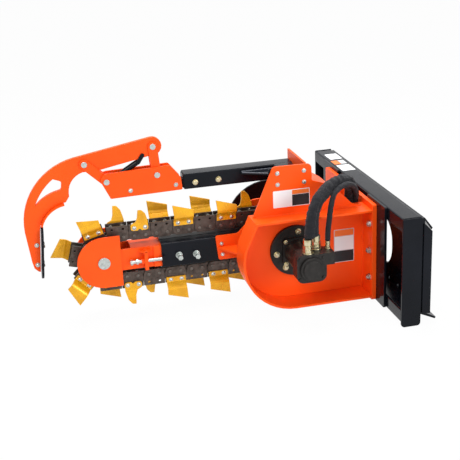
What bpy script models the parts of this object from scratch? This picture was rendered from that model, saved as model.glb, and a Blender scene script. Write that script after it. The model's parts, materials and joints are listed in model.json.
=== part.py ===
"""Skid-steer chain trencher: mount frame, drive head, digging boom and chain, crumber and hoses.

Metres, +Z up. +X points to the carrier, +Y to the far side. The origin is the middle of the flat rear
face that the carrier's attachment plate meets.
"""

import math

import bmesh
import bpy
from mathutils import Matrix, Vector

CLEAR = 0.0003  # gap left between two faces that touch
RUN = 0.0005  # radial clearance of a turning or sliding fit
WELD = 0.0002  # how far two plates that are one piece run into each other

# Mount frame
FRAME_WIDTH = 1.18
FRAME_DEPTH = 0.090
FRAME_TOP = 0.247
FRAME_BOTTOM = -0.257
TUBE_HEIGHT = 0.062
TUBE_WALL = 0.006
BOTTOM_TUBE_RAISE = 0.022
END_PLATE = 0.010
REAR_PLATE = 0.0127
LIP_TOP = 0.241
LIP_DROP = 0.052  # how far the top lip slopes down over its reach
LIP_REACH = 0.036
TOE_Z = -0.198
TOE_DROP = 0.033
TOE_REACH = 0.063
FLANGE_DEPTH = 0.032
FLANGE_PLATE = 0.008
WINDOW_WIDTH = 0.210
WINDOW_HEIGHT = 0.230
WINDOW_Y = 0.155
POST_PLATE = 0.012
POST_INNER_Y = 0.200
POST_OUTER_Y = 0.415

# Drive head
HEAD_BACK = 0.020
HEAD_HALF_WIDTH = 0.323
HEAD_TOP = 0.208
HEAD_RADIUS = 0.240
HEAD_ARC_X = -0.500
HEAD_CORNER_X = -0.677
HEAD_SKIN = 0.010
PAN_Y = -0.200  # near face of the pan that carries the motor
FIN_Y = -0.236
FIN_PLATE = 0.010
INNER_PLATE = 0.010
CROSS_PLATE = 0.010
BACK_PLATE_HALF_HEIGHT = 0.233
HEAD_BOLT_Y = 0.290
HEAD_BOLT = 0.0085  # radius of the hole for a head bolt
CRUMBER_BOLT = 0.0065

# Digging chain, drive and boom
AXIS_Z = 0.020
DRIVE_X = -0.465
PITCH = 0.0508
STRAIGHT_PITCHES = 17
SPROCKET_TEETH = 12
ROLLER = 0.0125
LINK_INNER = 0.0140  # inner face of the inner side plates, from the chain's centre plane
LINK_PLATE = 0.0075
SIDE_BAR_LOW = 0.075
SIDE_BAR_HIGH = 0.153
BOOM_WIDTH = 0.150
BOOM_HEIGHT = 0.120
BOOM_WALL = 0.008
BOOM_SETBACK = 0.2646  # from the nose axle back to the boom's front end
BOOM_REAR = -0.602
RAIL_WIDTH = 0.024
SIDE_BAR_GAP = 0.0020
TOOTH_PLATE = 0.007
TOOTH_FLARE = 0.031  # how far a cup tooth stands out from the side bar at its fold

# Nose
NOSE_PLATE = 0.010
NOSE_RADIUS = 0.121
NOSE_FACE = 0.070  # outer face of a nose plate from the centre plane
NOSE_TAIL = 0.0796  # from the nose axle back to the nose plates' rear edge
YOKE_HEIGHT = 0.100
YOKE_ARM = 0.013
YOKE_LENGTH = 0.160  # length of the yoke inside the boom
AXLE_RADIUS = 0.016
SCREW_RADIUS = 0.008
SCREW_Z = 0.010
SCREW_REACH = 0.049  # how far the tension screw stands out in front of its nut
NUT_HEIGHT = 0.013

# Motor
RING_RADIUS = 0.120
RING_PLATE = 0.015
RING_BOLTS = 7
RING_BOLT_CIRCLE = 0.092
RING_BOLT_PHASE = math.radians(185)
MOTOR_RADIUS = 0.060
MOTOR_LENGTH = 0.235
FLANGE_MARGIN = 0.0063  # how far the middle of each side of the square flange lies past the barrel
PORT_MARGIN = 0.005  # how far the port block rises past the barrel
HEAD_MARGIN = (0.008, 0.004, 0.0048)  # the square end casting past the barrel: each side, down and up
PORT_Y = -0.405
FITTING_HEIGHT = 0.065
DRAIN_FITTING_HEIGHT = 0.035
SHAFT_RADIUS = 0.025

# Spoil auger
AUGER_RADIUS = 0.215
BEARING_WIDTH = 0.024  # of the bearing on the auger's side
AUGER_GAP = 0.0054
AUGER_WIDTH = 0.150
AUGER_PHASE = math.radians(200)

# Crumber
CRUMBER_Z = 0.351
CRUMBER_TUBE = 0.075
CRUMBER_WALL = 0.005
CRUMBER_FRONT = -0.932
CRUMBER_REAR = -0.420
ARM_PLATE = 0.020
LINK_BAR = 0.008
BRACKET_PLATE = 0.008
PIN_RADIUS = 0.010
REAR_LINK_LOW = (-1.052, 0.395)
REAR_LINK_HIGH = (-1.062, 0.525)
FRONT_LINK_LOW = (-1.281, 0.387)
FRONT_LINK_HIGH = (-1.372, 0.4755)
STRUT_LOW = (-1.235, 0.398)
STRUT_TOP = (-1.131, 0.458)
STRUT_EAR = (-1.110, 0.489)
STRUT_ROD = 0.006
STRUT_COVER = 0.0130
FRONT_SLACK = 0.0016  # the front link's upper hole is loose, because the linkage isn't quite linear
BLADE_WIDTH = 0.088
BLADE_LENGTH = 0.244
BLADE_TIP = (-1.612, -0.038)

# Hoses
HOSE_RADIUS = 0.0135
DRAIN_RADIUS = 0.007
COUPLER_TOP = 0.200
COUPLER_HEIGHT = 0.060
MANIFOLD_HEIGHT = 0.080
HOSE_STUB = 0.006  # straight end of a hose
# The routes run from the motor's ports, over the fin, to the couplers on the head's back plate.
HOSE_ROUTE = (
    (-0.446, -0.402, 0.216),
    (-0.436, -0.393, 0.255),
    (-0.414, -0.375, 0.297),
    (-0.370, -0.339, 0.323),
    (-0.323, -0.300, 0.338),
    (-0.264, -0.257, 0.339),
    (-0.216, -0.218, 0.322),
    (-0.187, -0.182, 0.283),
    (-0.181, -0.160, 0.237),
)
HOSE_END = (-0.181, -0.155)
DRAIN_ROUTE = (
    (-0.371, -0.393, 0.160),
    (-0.360, -0.383, 0.220),
    (-0.343, -0.362, 0.277),
    (-0.316, -0.334, 0.316),
    (-0.256, -0.286, 0.331),
    (-0.202, -0.243, 0.312),
    (-0.171, -0.208, 0.268),
    (-0.161, -0.180, 0.228),
)
DRAIN_END = (-0.160, -0.1735)

# Derived places
FRAME_FRONT = -(FRAME_DEPTH + CLEAR + REAR_PLATE)
POST_FRONT = FRAME_FRONT - POST_PLATE
HEAD_REAR = POST_FRONT - CLEAR
HEAD_FACE = HEAD_REAR - HEAD_BACK
PITCH_RADIUS = PITCH / (2 * math.sin(math.pi / SPROCKET_TEETH))
NOSE_X = DRIVE_X - STRAIGHT_PITCHES * PITCH
NOSE_EDGE_X = NOSE_X + NOSE_TAIL
BOOM_FRONT = NOSE_X + BOOM_SETBACK
INNER_Y = BOOM_WIDTH / 2 + CLEAR  # inner face of the plates that clamp the boom
FAR_BEARING_Y = INNER_Y + INNER_PLATE + CLEAR
AUGER_NEAR = FAR_BEARING_Y + BEARING_WIDTH + AUGER_GAP
LINK_OUTER = LINK_INNER + 2 * LINK_PLATE
HALF_TURN = SPROCKET_TEETH // 2
LOOP = 2 * (STRAIGHT_PITCHES + HALF_TURN)
RIM_INNER_Y = PAN_Y + HEAD_SKIN
BRACKET_INNER = ARM_PLATE / 2 + RUN + LINK_BAR + RUN
MOTOR_FLANGE = MOTOR_RADIUS + FLANGE_MARGIN
MOTOR_PORT_RISE = MOTOR_RADIUS + PORT_MARGIN
PORT_TOP = AXIS_Z + MOTOR_PORT_RISE + CLEAR
SCREW_Y = -(BOOM_WIDTH / 2 + 0.004)
PORTS = {
    "pressure_port": (DRIVE_X - 0.010, PORT_Y - 0.020),
    "return_port": (DRIVE_X + 0.040, PORT_Y + 0.020),
}
DRAIN_PORT = (DRIVE_X + 0.092, PORT_Y + 0.010)
FIN_BOLTS = ((-0.550, 0.403), (-0.427, 0.403), (-0.550, 0.351), (-0.427, 0.351))
HEAD_BOLT_Z = (0.135, 0.004, -0.127)

# Teeth: which outer link carries which shape, and on which side. One link, the master link, is bare.
TEETH = {}
for first, fangs, side in ((25, 25, -1), (27, 35, 1)):
    for index in range(first, first + 41, 4):
        shape = "fang" if (index - fangs) % 12 == 0 else "cup"
        TEETH[index % LOOP] = (shape, side)

PAINTS = {
    "orange": ((0.90, 0.11, 0.02), 0.35, 0.0),
    "black": ((0.02, 0.02, 0.025), 0.35, 0.0),
    "chain": ((0.09, 0.07, 0.06), 0.55, 0.6),
    "gold": ((0.72, 0.40, 0.02), 0.40, 0.3),
    "zinc": ((0.62, 0.64, 0.62), 0.35, 0.9),
    "brass": ((0.55, 0.47, 0.22), 0.35, 0.9),
    "motor": ((0.05, 0.045, 0.04), 0.45, 0.3),
    "sleeve": ((0.015, 0.015, 0.018), 0.90, 0.0),
}


def clear_scene():
    for obj in list(bpy.data.objects):
        bpy.data.objects.remove(obj)


def collection(name):
    made = bpy.data.collections.new(name)
    bpy.context.scene.collection.children.link(made)
    return made


def finish(obj, name, paint):
    """Name a part, give it its own material and put it with the object's other parts."""
    obj.name = name
    obj.data.name = name
    colour, roughness, metallic = PAINTS[paint]
    material = bpy.data.materials.new(name + "_finish")
    material.use_nodes = True
    shader = material.node_tree.nodes["Principled BSDF"]
    shader.inputs["Base Color"].default_value = (*colour, 1)
    shader.inputs["Roughness"].default_value = roughness
    shader.inputs["Metallic"].default_value = metallic
    obj.data.materials.clear()
    obj.data.materials.append(material)
    if PARTS not in obj.users_collection:
        PARTS.objects.link(obj)
    return obj


def helper(obj):
    """Keep a cutter or a piece to be joined out of the parts."""
    HELPERS.objects.link(obj)
    obj.hide_render = True
    obj.display_type = "WIRE"
    return obj


def mesh_object(build):
    mesh = bpy.data.meshes.new("shape")
    shape = bmesh.new()
    build(shape)
    shape.to_mesh(mesh)
    shape.free()
    return bpy.data.objects.new("shape", mesh)


def block(low, high):
    """A box between two corners."""
    size = [b - a for a, b in zip(low, high)]
    middle = [(a + b) / 2 for a, b in zip(low, high)]

    def build(shape):
        bmesh.ops.create_cube(shape, size=1, matrix=Matrix.Diagonal((*size, 1)))

    made = mesh_object(build)
    made.location = middle
    return made


AIM = {
    "x": Matrix.Rotation(math.pi / 2, 4, "Y"),
    "y": Matrix.Rotation(-math.pi / 2, 4, "X"),
    "z": Matrix.Identity(4),
}


def rod(axis, start, length, radius, sides=24, tip_radius=None):
    """A cylinder or a cone along +X, +Y or +Z from the middle of its first face."""
    tip = radius if tip_radius is None else tip_radius

    def build(shape):
        bmesh.ops.create_cone(
            shape,
            cap_ends=True,
            segments=sides,
            radius1=radius,
            radius2=tip,
            depth=length,
            matrix=AIM[axis] @ Matrix.Translation((0, 0, length / 2)),
        )

    made = mesh_object(build)
    made.location = start
    return made


def rounded(corners, steps=5):
    """Outline points from (u, v) or (u, v, radius) corners, each radius as an arc."""
    points = []
    for index, corner in enumerate(corners):
        here = Vector(corner[:2])
        radius = corner[2] if len(corner) > 2 else 0
        if not radius:
            points.append(tuple(here))
            continue
        before = (Vector(corners[index - 1][:2]) - here).normalized()
        after = (Vector(corners[(index + 1) % len(corners)][:2]) - here).normalized()
        half = before.angle(after) / 2
        centre = here + (before + after).normalized() * radius / math.sin(half)
        start = here + before * radius / math.tan(half) - centre
        end = here + after * radius / math.tan(half) - centre
        sweep = start.angle_signed(end)
        first = math.atan2(start.y, start.x)
        points += arc(centre, radius, first, first - sweep, steps)
    return points


def arc(centre, radius, first, last, steps):
    """Points on an arc, both ends included, from one angle to another."""
    turn = (last - first) / steps
    return [
        (centre[0] + radius * math.cos(first + turn * i), centre[1] + radius * math.sin(first + turn * i))
        for i in range(steps + 1)
    ]


def ring(centre, radius, sides=24):
    return arc(centre, radius, 0, 2 * math.pi, sides)[:-1]


def slot(centre, length, height, steps=6):
    """An outline with two round ends, along u."""
    reach = (length - height) / 2
    right = arc((centre[0] + reach, centre[1]), height / 2, -math.pi / 2, math.pi / 2, steps)
    left = arc((centre[0] - reach, centre[1]), height / 2, math.pi / 2, 3 * math.pi / 2, steps)
    return right + left


TURNS = {
    "x": (math.pi / 2, 0, math.pi / 2),  # outline (u, v) is (Y, Z)
    "y": (math.pi / 2, 0, 0),  # outline (u, v) is (X, Z)
    "z": (0, 0, 0),  # outline (u, v) is (X, Y)
}


def flat(facing, first, last, outline, *holes):
    """A plate cut to an outline, with holes, between two places on the axis that it faces."""
    curve = bpy.data.curves.new("outline", "CURVE")
    curve.dimensions = "2D"
    curve.fill_mode = "BOTH"
    curve.extrude = abs(last - first) / 2
    for points in (outline, *holes):
        spline = curve.splines.new("POLY")
        spline.points.add(len(points) - 1)
        for point, place in zip(spline.points, points):
            point.co = (*place, 0, 1)
        spline.use_cyclic_u = True
    drawn = bpy.data.objects.new("outline", curve)
    middle = (first + last) / 2
    drawn.location = {"x": (middle, 0, 0), "y": (0, middle, 0), "z": (0, 0, middle)}[facing]
    drawn.rotation_euler = TURNS[facing]
    return solid(drawn)


def solid(drawn):
    """A mesh object in place of a curve object, with its caps welded on."""
    HELPERS.objects.link(drawn)
    bpy.context.view_layer.update()
    graph = bpy.context.evaluated_depsgraph_get()
    mesh = bpy.data.meshes.new_from_object(drawn.evaluated_get(graph))
    shape = bmesh.new()
    shape.from_mesh(mesh)
    bmesh.ops.remove_doubles(shape, verts=shape.verts, dist=0.00001)
    bmesh.ops.recalc_face_normals(shape, faces=shape.faces)
    shape.to_mesh(mesh)
    shape.free()
    made = bpy.data.objects.new("shape", mesh)
    made.matrix_world = drawn.matrix_world
    bpy.data.objects.remove(drawn)
    return made


def pipe(points, radius, resolution=2):
    """A round tube, filled, along a smooth chain of points."""
    curve = bpy.data.curves.new("route", "CURVE")
    curve.dimensions = "3D"
    curve.bevel_depth = radius
    curve.bevel_resolution = resolution
    curve.use_fill_caps = True
    spline = curve.splines.new("POLY")
    spline.points.add(len(points) - 1)
    for point, place in zip(spline.points, points):
        point.co = (*place, 1)
    return solid(bpy.data.objects.new("route", curve))


def smooth_route(points, steps):
    """Points on a Catmull-Rom curve through the given ones."""
    ends = [2 * Vector(points[0]) - Vector(points[1]), 2 * Vector(points[-1]) - Vector(points[-2])]
    knots = [ends[0], *map(Vector, points), ends[1]]
    route = []
    for a, b, c, d in zip(knots, knots[1:], knots[2:], knots[3:]):
        for i in range(steps):
            t = i / steps
            square = 2 * a - 5 * b + 4 * c - d
            cube = 3 * b - a - 3 * c + d
            route.append((2 * b + (c - a) * t + square * t**2 + cube * t**3) / 2)
    return [*route, knots[-2]]


def merged(objects):
    """One mesh of several separate solids."""
    shape = bmesh.new()
    for obj in objects:
        mesh = obj.data.copy()
        mesh.transform(obj.matrix_basis)
        shape.from_mesh(mesh)
        bpy.data.meshes.remove(mesh)
        bpy.data.objects.remove(obj)
    mesh = bpy.data.meshes.new("shape")
    shape.to_mesh(mesh)
    shape.free()
    return bpy.data.objects.new("shape", mesh)


def boolean(obj, tools, operation):
    for tool in tools:
        helper(tool).name = "join" if operation == "UNION" else "cutter"
        modifier = obj.modifiers.new(operation.title(), "BOOLEAN")
        modifier.operation = operation
        modifier.object = tool
    return obj


def fuse(obj, *others):
    return boolean(obj, others, "UNION")


def cut(obj, *others):
    return boolean(obj, others, "DIFFERENCE")


def bevelled(obj, width, segments=2):
    modifier = obj.modifiers.new("Bevel", "BEVEL")
    modifier.width = width
    modifier.segments = segments
    return obj


def hollow_tube(axis, start, end, middle, size, wall, corner):
    """A rectangular tube with round corners, open at both ends."""

    def outline(shrink):
        u, v = size[0] / 2 - shrink, size[1] / 2 - shrink
        r = max(corner - shrink, 0.002)
        signs = ((1, -1), (1, 1), (-1, 1), (-1, -1))
        return rounded([(middle[0] + s * u, middle[1] + t * v, r) for s, t in signs], 3)

    return flat(axis, start, end, outline(0), outline(wall))


# Mount frame


def mount_frame():
    inner = FRAME_WIDTH / 2 - END_PLATE - CLEAR
    middle_x = FRAME_FRONT + FRAME_DEPTH / 2
    size = (FRAME_DEPTH, TUBE_HEIGHT)
    heights = {
        "mount_top_tube": FRAME_TOP - TUBE_HEIGHT / 2,
        "mount_bottom_tube": FRAME_BOTTOM + BOTTOM_TUBE_RAISE + TUBE_HEIGHT / 2,
    }
    for name, z in heights.items():
        tube = hollow_tube("y", -inner, inner, (middle_x, z), size, TUBE_WALL, 0.008)
        finish(tube, name, "black")
    back = FRAME_FRONT + FRAME_DEPTH
    for name, side in (("near", -1), ("far", 1)):
        outline = rounded(
            [
                (FRAME_FRONT, FRAME_BOTTOM, 0.016),
                (back, FRAME_BOTTOM, 0.016),
                (back, FRAME_TOP, 0.006),
                (FRAME_FRONT, FRAME_TOP, 0.006),
            ]
        )
        outer = side * FRAME_WIDTH / 2
        plate = flat("y", outer, outer - side * END_PLATE, outline)
        finish(plate, "mount_end_plate_" + name, "black")


def quick_attach():
    """The formed rear plate that the carrier's top hook and bottom locking pins hold."""
    half = FRAME_WIDTH / 2 - FLANGE_PLATE
    lip = 0.012
    profile = [
        (-REAR_PLATE, TOE_Z - 0.008),
        (TOE_REACH - 0.004, TOE_Z - TOE_DROP - 0.008),
        (TOE_REACH, TOE_Z - TOE_DROP),
        (0, TOE_Z),
        (0, LIP_TOP - lip),
        (LIP_REACH - 0.006, LIP_TOP - LIP_DROP - 0.004),
        (LIP_REACH, LIP_TOP - LIP_DROP + 0.004),
        (0, LIP_TOP),
        (-REAR_PLATE, LIP_TOP),
    ]
    plate = flat("y", -half, half, profile)
    cutters = []
    deep = 4 * REAR_PLATE
    for side in (-1, 1):
        oval = rounded(
            [
                (side * WINDOW_Y + u * WINDOW_WIDTH / 2, v * WINDOW_HEIGHT / 2, 0.100)
                for u, v in ((1, -1), (1, 1), (-1, 1), (-1, -1))
            ],
            6,
        )
        cutters.append(flat("x", -deep, deep, oval))
        for y, z in ((0.229, -0.172), (0.330, -0.172), (0.420, 0.0)):
            cutters.append(rod("x", (-deep, side * y, z), 2 * deep, 0.011, 10))
        pin_slot = slot((TOE_REACH * 0.55, side * 0.440), 0.034, 0.026)
        cutters.append(flat("z", TOE_Z - TOE_DROP - 0.030, TOE_Z + 0.020, pin_slot))
    flange = [
        (-REAR_PLATE / 2, LIP_TOP - 0.020, 0.003),
        (FLANGE_DEPTH, LIP_TOP - LIP_DROP - 0.008, 0.003),
        (FLANGE_DEPTH, TOE_Z - 0.008, 0.003),
        (-REAR_PLATE / 2, TOE_Z - 0.002, 0.003),
    ]
    flanges = [
        flat("y", side * (half - 0.001), side * FRAME_WIDTH / 2, rounded(flange, 2)) for side in (-1, 1)
    ]
    finish(cut(fuse(plate, *flanges), *cutters), "quick_attach_plate", "black")


def posts():
    low = FRAME_BOTTOM + BOTTOM_TUBE_RAISE
    for name, side in (("near", -1), ("far", 1)):
        corners = [
            (side * POST_INNER_Y, low, 0.006),
            (side * POST_OUTER_Y, low, 0.006),
            (side * POST_OUTER_Y, FRAME_TOP, 0.006),
            (side * POST_INNER_Y, FRAME_TOP, 0.006),
        ]
        if side < 0:
            corners.reverse()
        plate = flat("x", FRAME_FRONT - CLEAR, POST_FRONT, rounded(corners, 3))
        finish(plate, "head_post_" + name, "black")


# Drive head


def head_outline(inset):
    """The D-shaped outline of the head, from the top rear corner round to the bottom rear corner."""
    top = HEAD_TOP - inset
    corner = HEAD_CORNER_X + 1.1 * inset
    bend = arc((HEAD_ARC_X, AXIS_Z), HEAD_RADIUS - inset, math.radians(161), math.radians(270), 14)
    return [(HEAD_FACE - CLEAR, top), (corner, top), *bend, (HEAD_FACE - CLEAR, AXIS_Z - HEAD_RADIUS + inset)]


def head():
    half = HEAD_HALF_WIDTH
    high = BACK_PLATE_HALF_HEIGHT
    back = [(-half, -high, 0.01), (half, -high, 0.01), (half, high, 0.01), (-half, high, 0.01)]
    bolts = [ring((side * HEAD_BOLT_Y, z), HEAD_BOLT, 12) for side in (-1, 1) for z in HEAD_BOLT_Z]
    plate = flat("x", HEAD_FACE, HEAD_REAR, rounded(back, 3), *bolts)
    finish(plate, "head_back_plate", "orange")

    rim = [*head_outline(0), *reversed(head_outline(HEAD_SKIN))]
    finish(flat("y", -half, RIM_INNER_Y, rim), "head_rim", "orange")

    pan_hole = ring((DRIVE_X, AXIS_Z), 0.062)
    pan = flat("y", PAN_Y, PAN_Y + HEAD_SKIN, head_outline(HEAD_SKIN + CLEAR), pan_hole)
    finish(pan, "head_motor_plate", "orange")

    foot = HEAD_TOP + CLEAR
    fin = rounded(
        [
            (-0.668, foot),
            (HEAD_FACE - 0.020, foot),
            (-0.201, 0.222, 0.03),
            (-0.263, 0.288, 0.03),
            (-0.322, 0.331, 0.03),
            (-0.391, 0.354, 0.012),
            (-0.391, 0.432, 0.020),
            (-0.569, 0.434, 0.020),
        ]
    )
    bolts = [ring(place, CRUMBER_BOLT, 12) for place in FIN_BOLTS]
    finish(flat("y", FIN_Y, FIN_Y + FIN_PLATE, fin, *bolts), "head_fin", "orange")

    reach = CRUMBER_TUBE / 2
    near = FIN_Y + 2 * FIN_PLATE + 2 * CLEAR
    web = [(near, foot), (-0.190, foot), (-0.190, 0.270), (reach, 0.270), (reach, 0.434), (near, 0.434)]
    finish(flat("x", CRUMBER_REAR, CRUMBER_REAR + CROSS_PLATE, web), "head_cross_plate", "orange")

    x = CRUMBER_REAR + CROSS_PLATE + CLEAR
    cover = [(x, 0.358), (-0.330, 0.323), (-0.266, 0.281), (-0.269, 0.276), (-0.333, 0.317), (x, 0.352)]
    finish(flat("y", FIN_Y + FIN_PLATE + CLEAR, 0.030, cover), "head_top_cover", "orange")

    clamp = rounded(
        [
            (HEAD_FACE - CLEAR, 0.190),
            (-0.600, 0.190, 0.08),
            (-0.705, 0.088, 0.02),
            (-0.811, 0.088, 0.010),
            (-0.800, -0.030, 0.010),
            (-0.690, -0.030, 0.02),
            (-0.600, -0.185, 0.08),
            (HEAD_FACE - CLEAR, -0.185),
        ]
    )
    hole = ring((DRIVE_X, AXIS_Z), SHAFT_RADIUS + 0.012)
    for name, side in (("near", -1), ("far", 1)):
        plate = flat("y", side * INNER_Y, side * (INNER_Y + INNER_PLATE), clamp, hole)
        finish(plate, "boom_clamp_" + name, "orange")


# Motor and drive line


def sleeve(start, end, outer, bore, x, z, sides=24):
    """A plain ring about an axis along Y."""
    return flat("y", start, end, ring((x, z), outer, sides), ring((x, z), bore, 24))


def motor():
    ring_face = PAN_Y - CLEAR - RING_PLATE
    bolts = []
    for i in range(RING_BOLTS):
        angle = RING_BOLT_PHASE + 2 * math.pi * i / RING_BOLTS
        place = (
            DRIVE_X + RING_BOLT_CIRCLE * math.cos(angle),
            AXIS_Z + RING_BOLT_CIRCLE * math.sin(angle),
        )
        bolts.append(ring(place, 0.0065, 10))
    adapter = flat("y", PAN_Y - CLEAR, ring_face, ring((DRIVE_X, AXIS_Z), RING_RADIUS, 48),
                   ring((DRIVE_X, AXIS_Z), 0.045), *bolts)
    finish(adapter, "motor_adapter_ring", "black")

    face = ring_face - CLEAR
    signs = ((1, 1), (-1, 1), (-1, -1), (1, -1))
    flange_outline = rounded(
        [(DRIVE_X + s * MOTOR_FLANGE, AXIS_Z + t * MOTOR_FLANGE, 0.02) for s, t in signs]
    )
    body = rod("y", (DRIVE_X, face - MOTOR_LENGTH, AXIS_Z), MOTOR_LENGTH, MOTOR_RADIUS, 32)
    flange = flat("y", face, face - 0.018, flange_outline)
    port = block(
        (DRIVE_X - 0.050, face - MOTOR_LENGTH, AXIS_Z + 0.010),
        (DRIVE_X + 0.105, face - MOTOR_LENGTH + 0.085, AXIS_Z + MOTOR_PORT_RISE),
    )
    wide, low, high = (MOTOR_RADIUS + margin for margin in HEAD_MARGIN)
    casting = rounded(
        [
            (DRIVE_X - wide, AXIS_Z - low, 0.032),
            (DRIVE_X + wide, AXIS_Z - low, 0.032),
            (DRIVE_X + wide, AXIS_Z + high, 0.022),
            (DRIVE_X - wide, AXIS_Z + high, 0.022),
        ]
    )
    end_casting = flat("y", face - MOTOR_LENGTH, face - MOTOR_LENGTH + 0.060, casting)
    finish(fuse(body, flange, port, end_casting), "motor_body", "motor")

    end = face - MOTOR_LENGTH - CLEAR
    cover = rod("y", (DRIVE_X, end - 0.012, AXIS_Z), 0.012, MOTOR_RADIUS - 0.006, 32)
    boss = rod("y", (DRIVE_X, end - 0.020, AXIS_Z), 0.012, 0.042, 32)
    finish(fuse(cover, boss), "motor_end_cover", "motor")

    for name, (x, y) in PORTS.items():
        nut = rod("z", (x, y, PORT_TOP), 0.040, 0.021, 6)
        collar = rod("z", (x, y, PORT_TOP + 0.039), FITTING_HEIGHT - 0.039, 0.017, 20)
        finish(fuse(nut, collar), name + "_fitting", "brass")
    x, y = DRAIN_PORT
    nut = rod("z", (x, y, PORT_TOP), 0.020, 0.012, 6)
    collar = rod("z", (x, y, PORT_TOP + 0.019), DRAIN_FITTING_HEIGHT - 0.019, 0.009, 16)
    finish(fuse(nut, collar), "drain_fitting", "brass")


def sprocket_outline():
    """Round seats for the rollers, which lie on the pitch circle, and flat-topped teeth between them."""
    points = []
    seat = ROLLER + RUN
    tip = PITCH_RADIUS + 0.008
    step = 2 * math.pi / SPROCKET_TEETH
    for i in range(SPROCKET_TEETH):
        angle = math.pi / 2 - i * step
        centre = (
            DRIVE_X + PITCH_RADIUS * math.cos(angle),
            AXIS_Z + PITCH_RADIUS * math.sin(angle),
        )
        inwards = angle + math.pi
        points += arc(centre, seat, inwards - math.radians(75), inwards + math.radians(75), 6)
        points += arc((DRIVE_X, AXIS_Z), tip, angle - 0.36 * step, angle - 0.64 * step, 1)
    return points


def drive_line():
    start = PAN_Y - RING_PLATE
    end = AUGER_NEAR + AUGER_WIDTH + 0.012
    shaft = rod("y", (DRIVE_X, start, AXIS_Z), end - start, SHAFT_RADIUS, 24)
    finish(shaft, "drive_shaft", "zinc")
    wheel = flat("y", -RAIL_WIDTH / 2, RAIL_WIDTH / 2, sprocket_outline(),
                 ring((DRIVE_X, AXIS_Z), SHAFT_RADIUS + CLEAR))
    finish(wheel, "drive_sprocket", "chain")
    near = PAN_Y + HEAD_SKIN + CLEAR
    bore = SHAFT_RADIUS + RUN
    housing = sleeve(near, -INNER_Y - INNER_PLATE - CLEAR, 0.078, bore, DRIVE_X, AXIS_Z)
    finish(housing, "shaft_bearing_near", "black")
    far = FAR_BEARING_Y
    finish(sleeve(far, far + BEARING_WIDTH, 0.052, bore, DRIVE_X, AXIS_Z), "shaft_bearing_far", "black")
    auger()


def auger():
    """A flat helical flight of one turn on a hub."""
    hub_radius = 0.042
    turns, steps, thick = 1.0, 36, 0.010
    pitch = AUGER_WIDTH - thick
    root = hub_radius - 0.003

    def build(shape):
        rows = []
        for i in range(steps + 1):
            angle = AUGER_PHASE + 2 * math.pi * turns * i / steps
            y = AUGER_NEAR + pitch * i / steps
            row = []
            for radius, side in ((root, 0), (AUGER_RADIUS, 0), (AUGER_RADIUS, 1), (root, 1)):
                place = (
                    DRIVE_X + radius * math.cos(angle),
                    y + side * thick,
                    AXIS_Z + radius * math.sin(angle),
                )
                row.append(shape.verts.new(place))
            rows.append(row)
        for a, b in zip(rows, rows[1:]):
            for j in range(4):
                shape.faces.new((a[j], a[(j + 1) % 4], b[(j + 1) % 4], b[j]))
        shape.faces.new(rows[0])
        shape.faces.new(rows[-1])
        bmesh.ops.recalc_face_normals(shape, faces=shape.faces)

    hub = sleeve(AUGER_NEAR, AUGER_NEAR + AUGER_WIDTH, hub_radius, SHAFT_RADIUS + CLEAR, DRIVE_X, AXIS_Z)
    finish(fuse(hub, mesh_object(build)), "spoil_auger", "black")


# Boom and nose


def boom():
    size = (BOOM_WIDTH, BOOM_HEIGHT)
    tube = hollow_tube("x", BOOM_FRONT, BOOM_REAR, (0, AXIS_Z), size, BOOM_WALL, 0.010)
    pad = block(
        (BOOM_FRONT, SCREW_Y - 0.012, SCREW_Z - 0.016),
        (BOOM_FRONT + 0.014, -BOOM_WIDTH / 2 + 0.002, SCREW_Z + 0.016),
    )
    finish(fuse(tube, pad), "boom_tube", "black")
    height = PITCH_RADIUS - ROLLER - CLEAR - BOOM_HEIGHT / 2 - CLEAR
    for name, side in (("top", 1), ("bottom", -1)):
        z = AXIS_Z + side * (BOOM_HEIGHT / 2 + CLEAR)
        ends = sorted((z, z + side * height))
        rail = block((BOOM_FRONT, -RAIL_WIDTH / 2, ends[0]), (BOOM_REAR, RAIL_WIDTH / 2, ends[1]))
        finish(rail, "chain_rail_" + name, "zinc")


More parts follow.
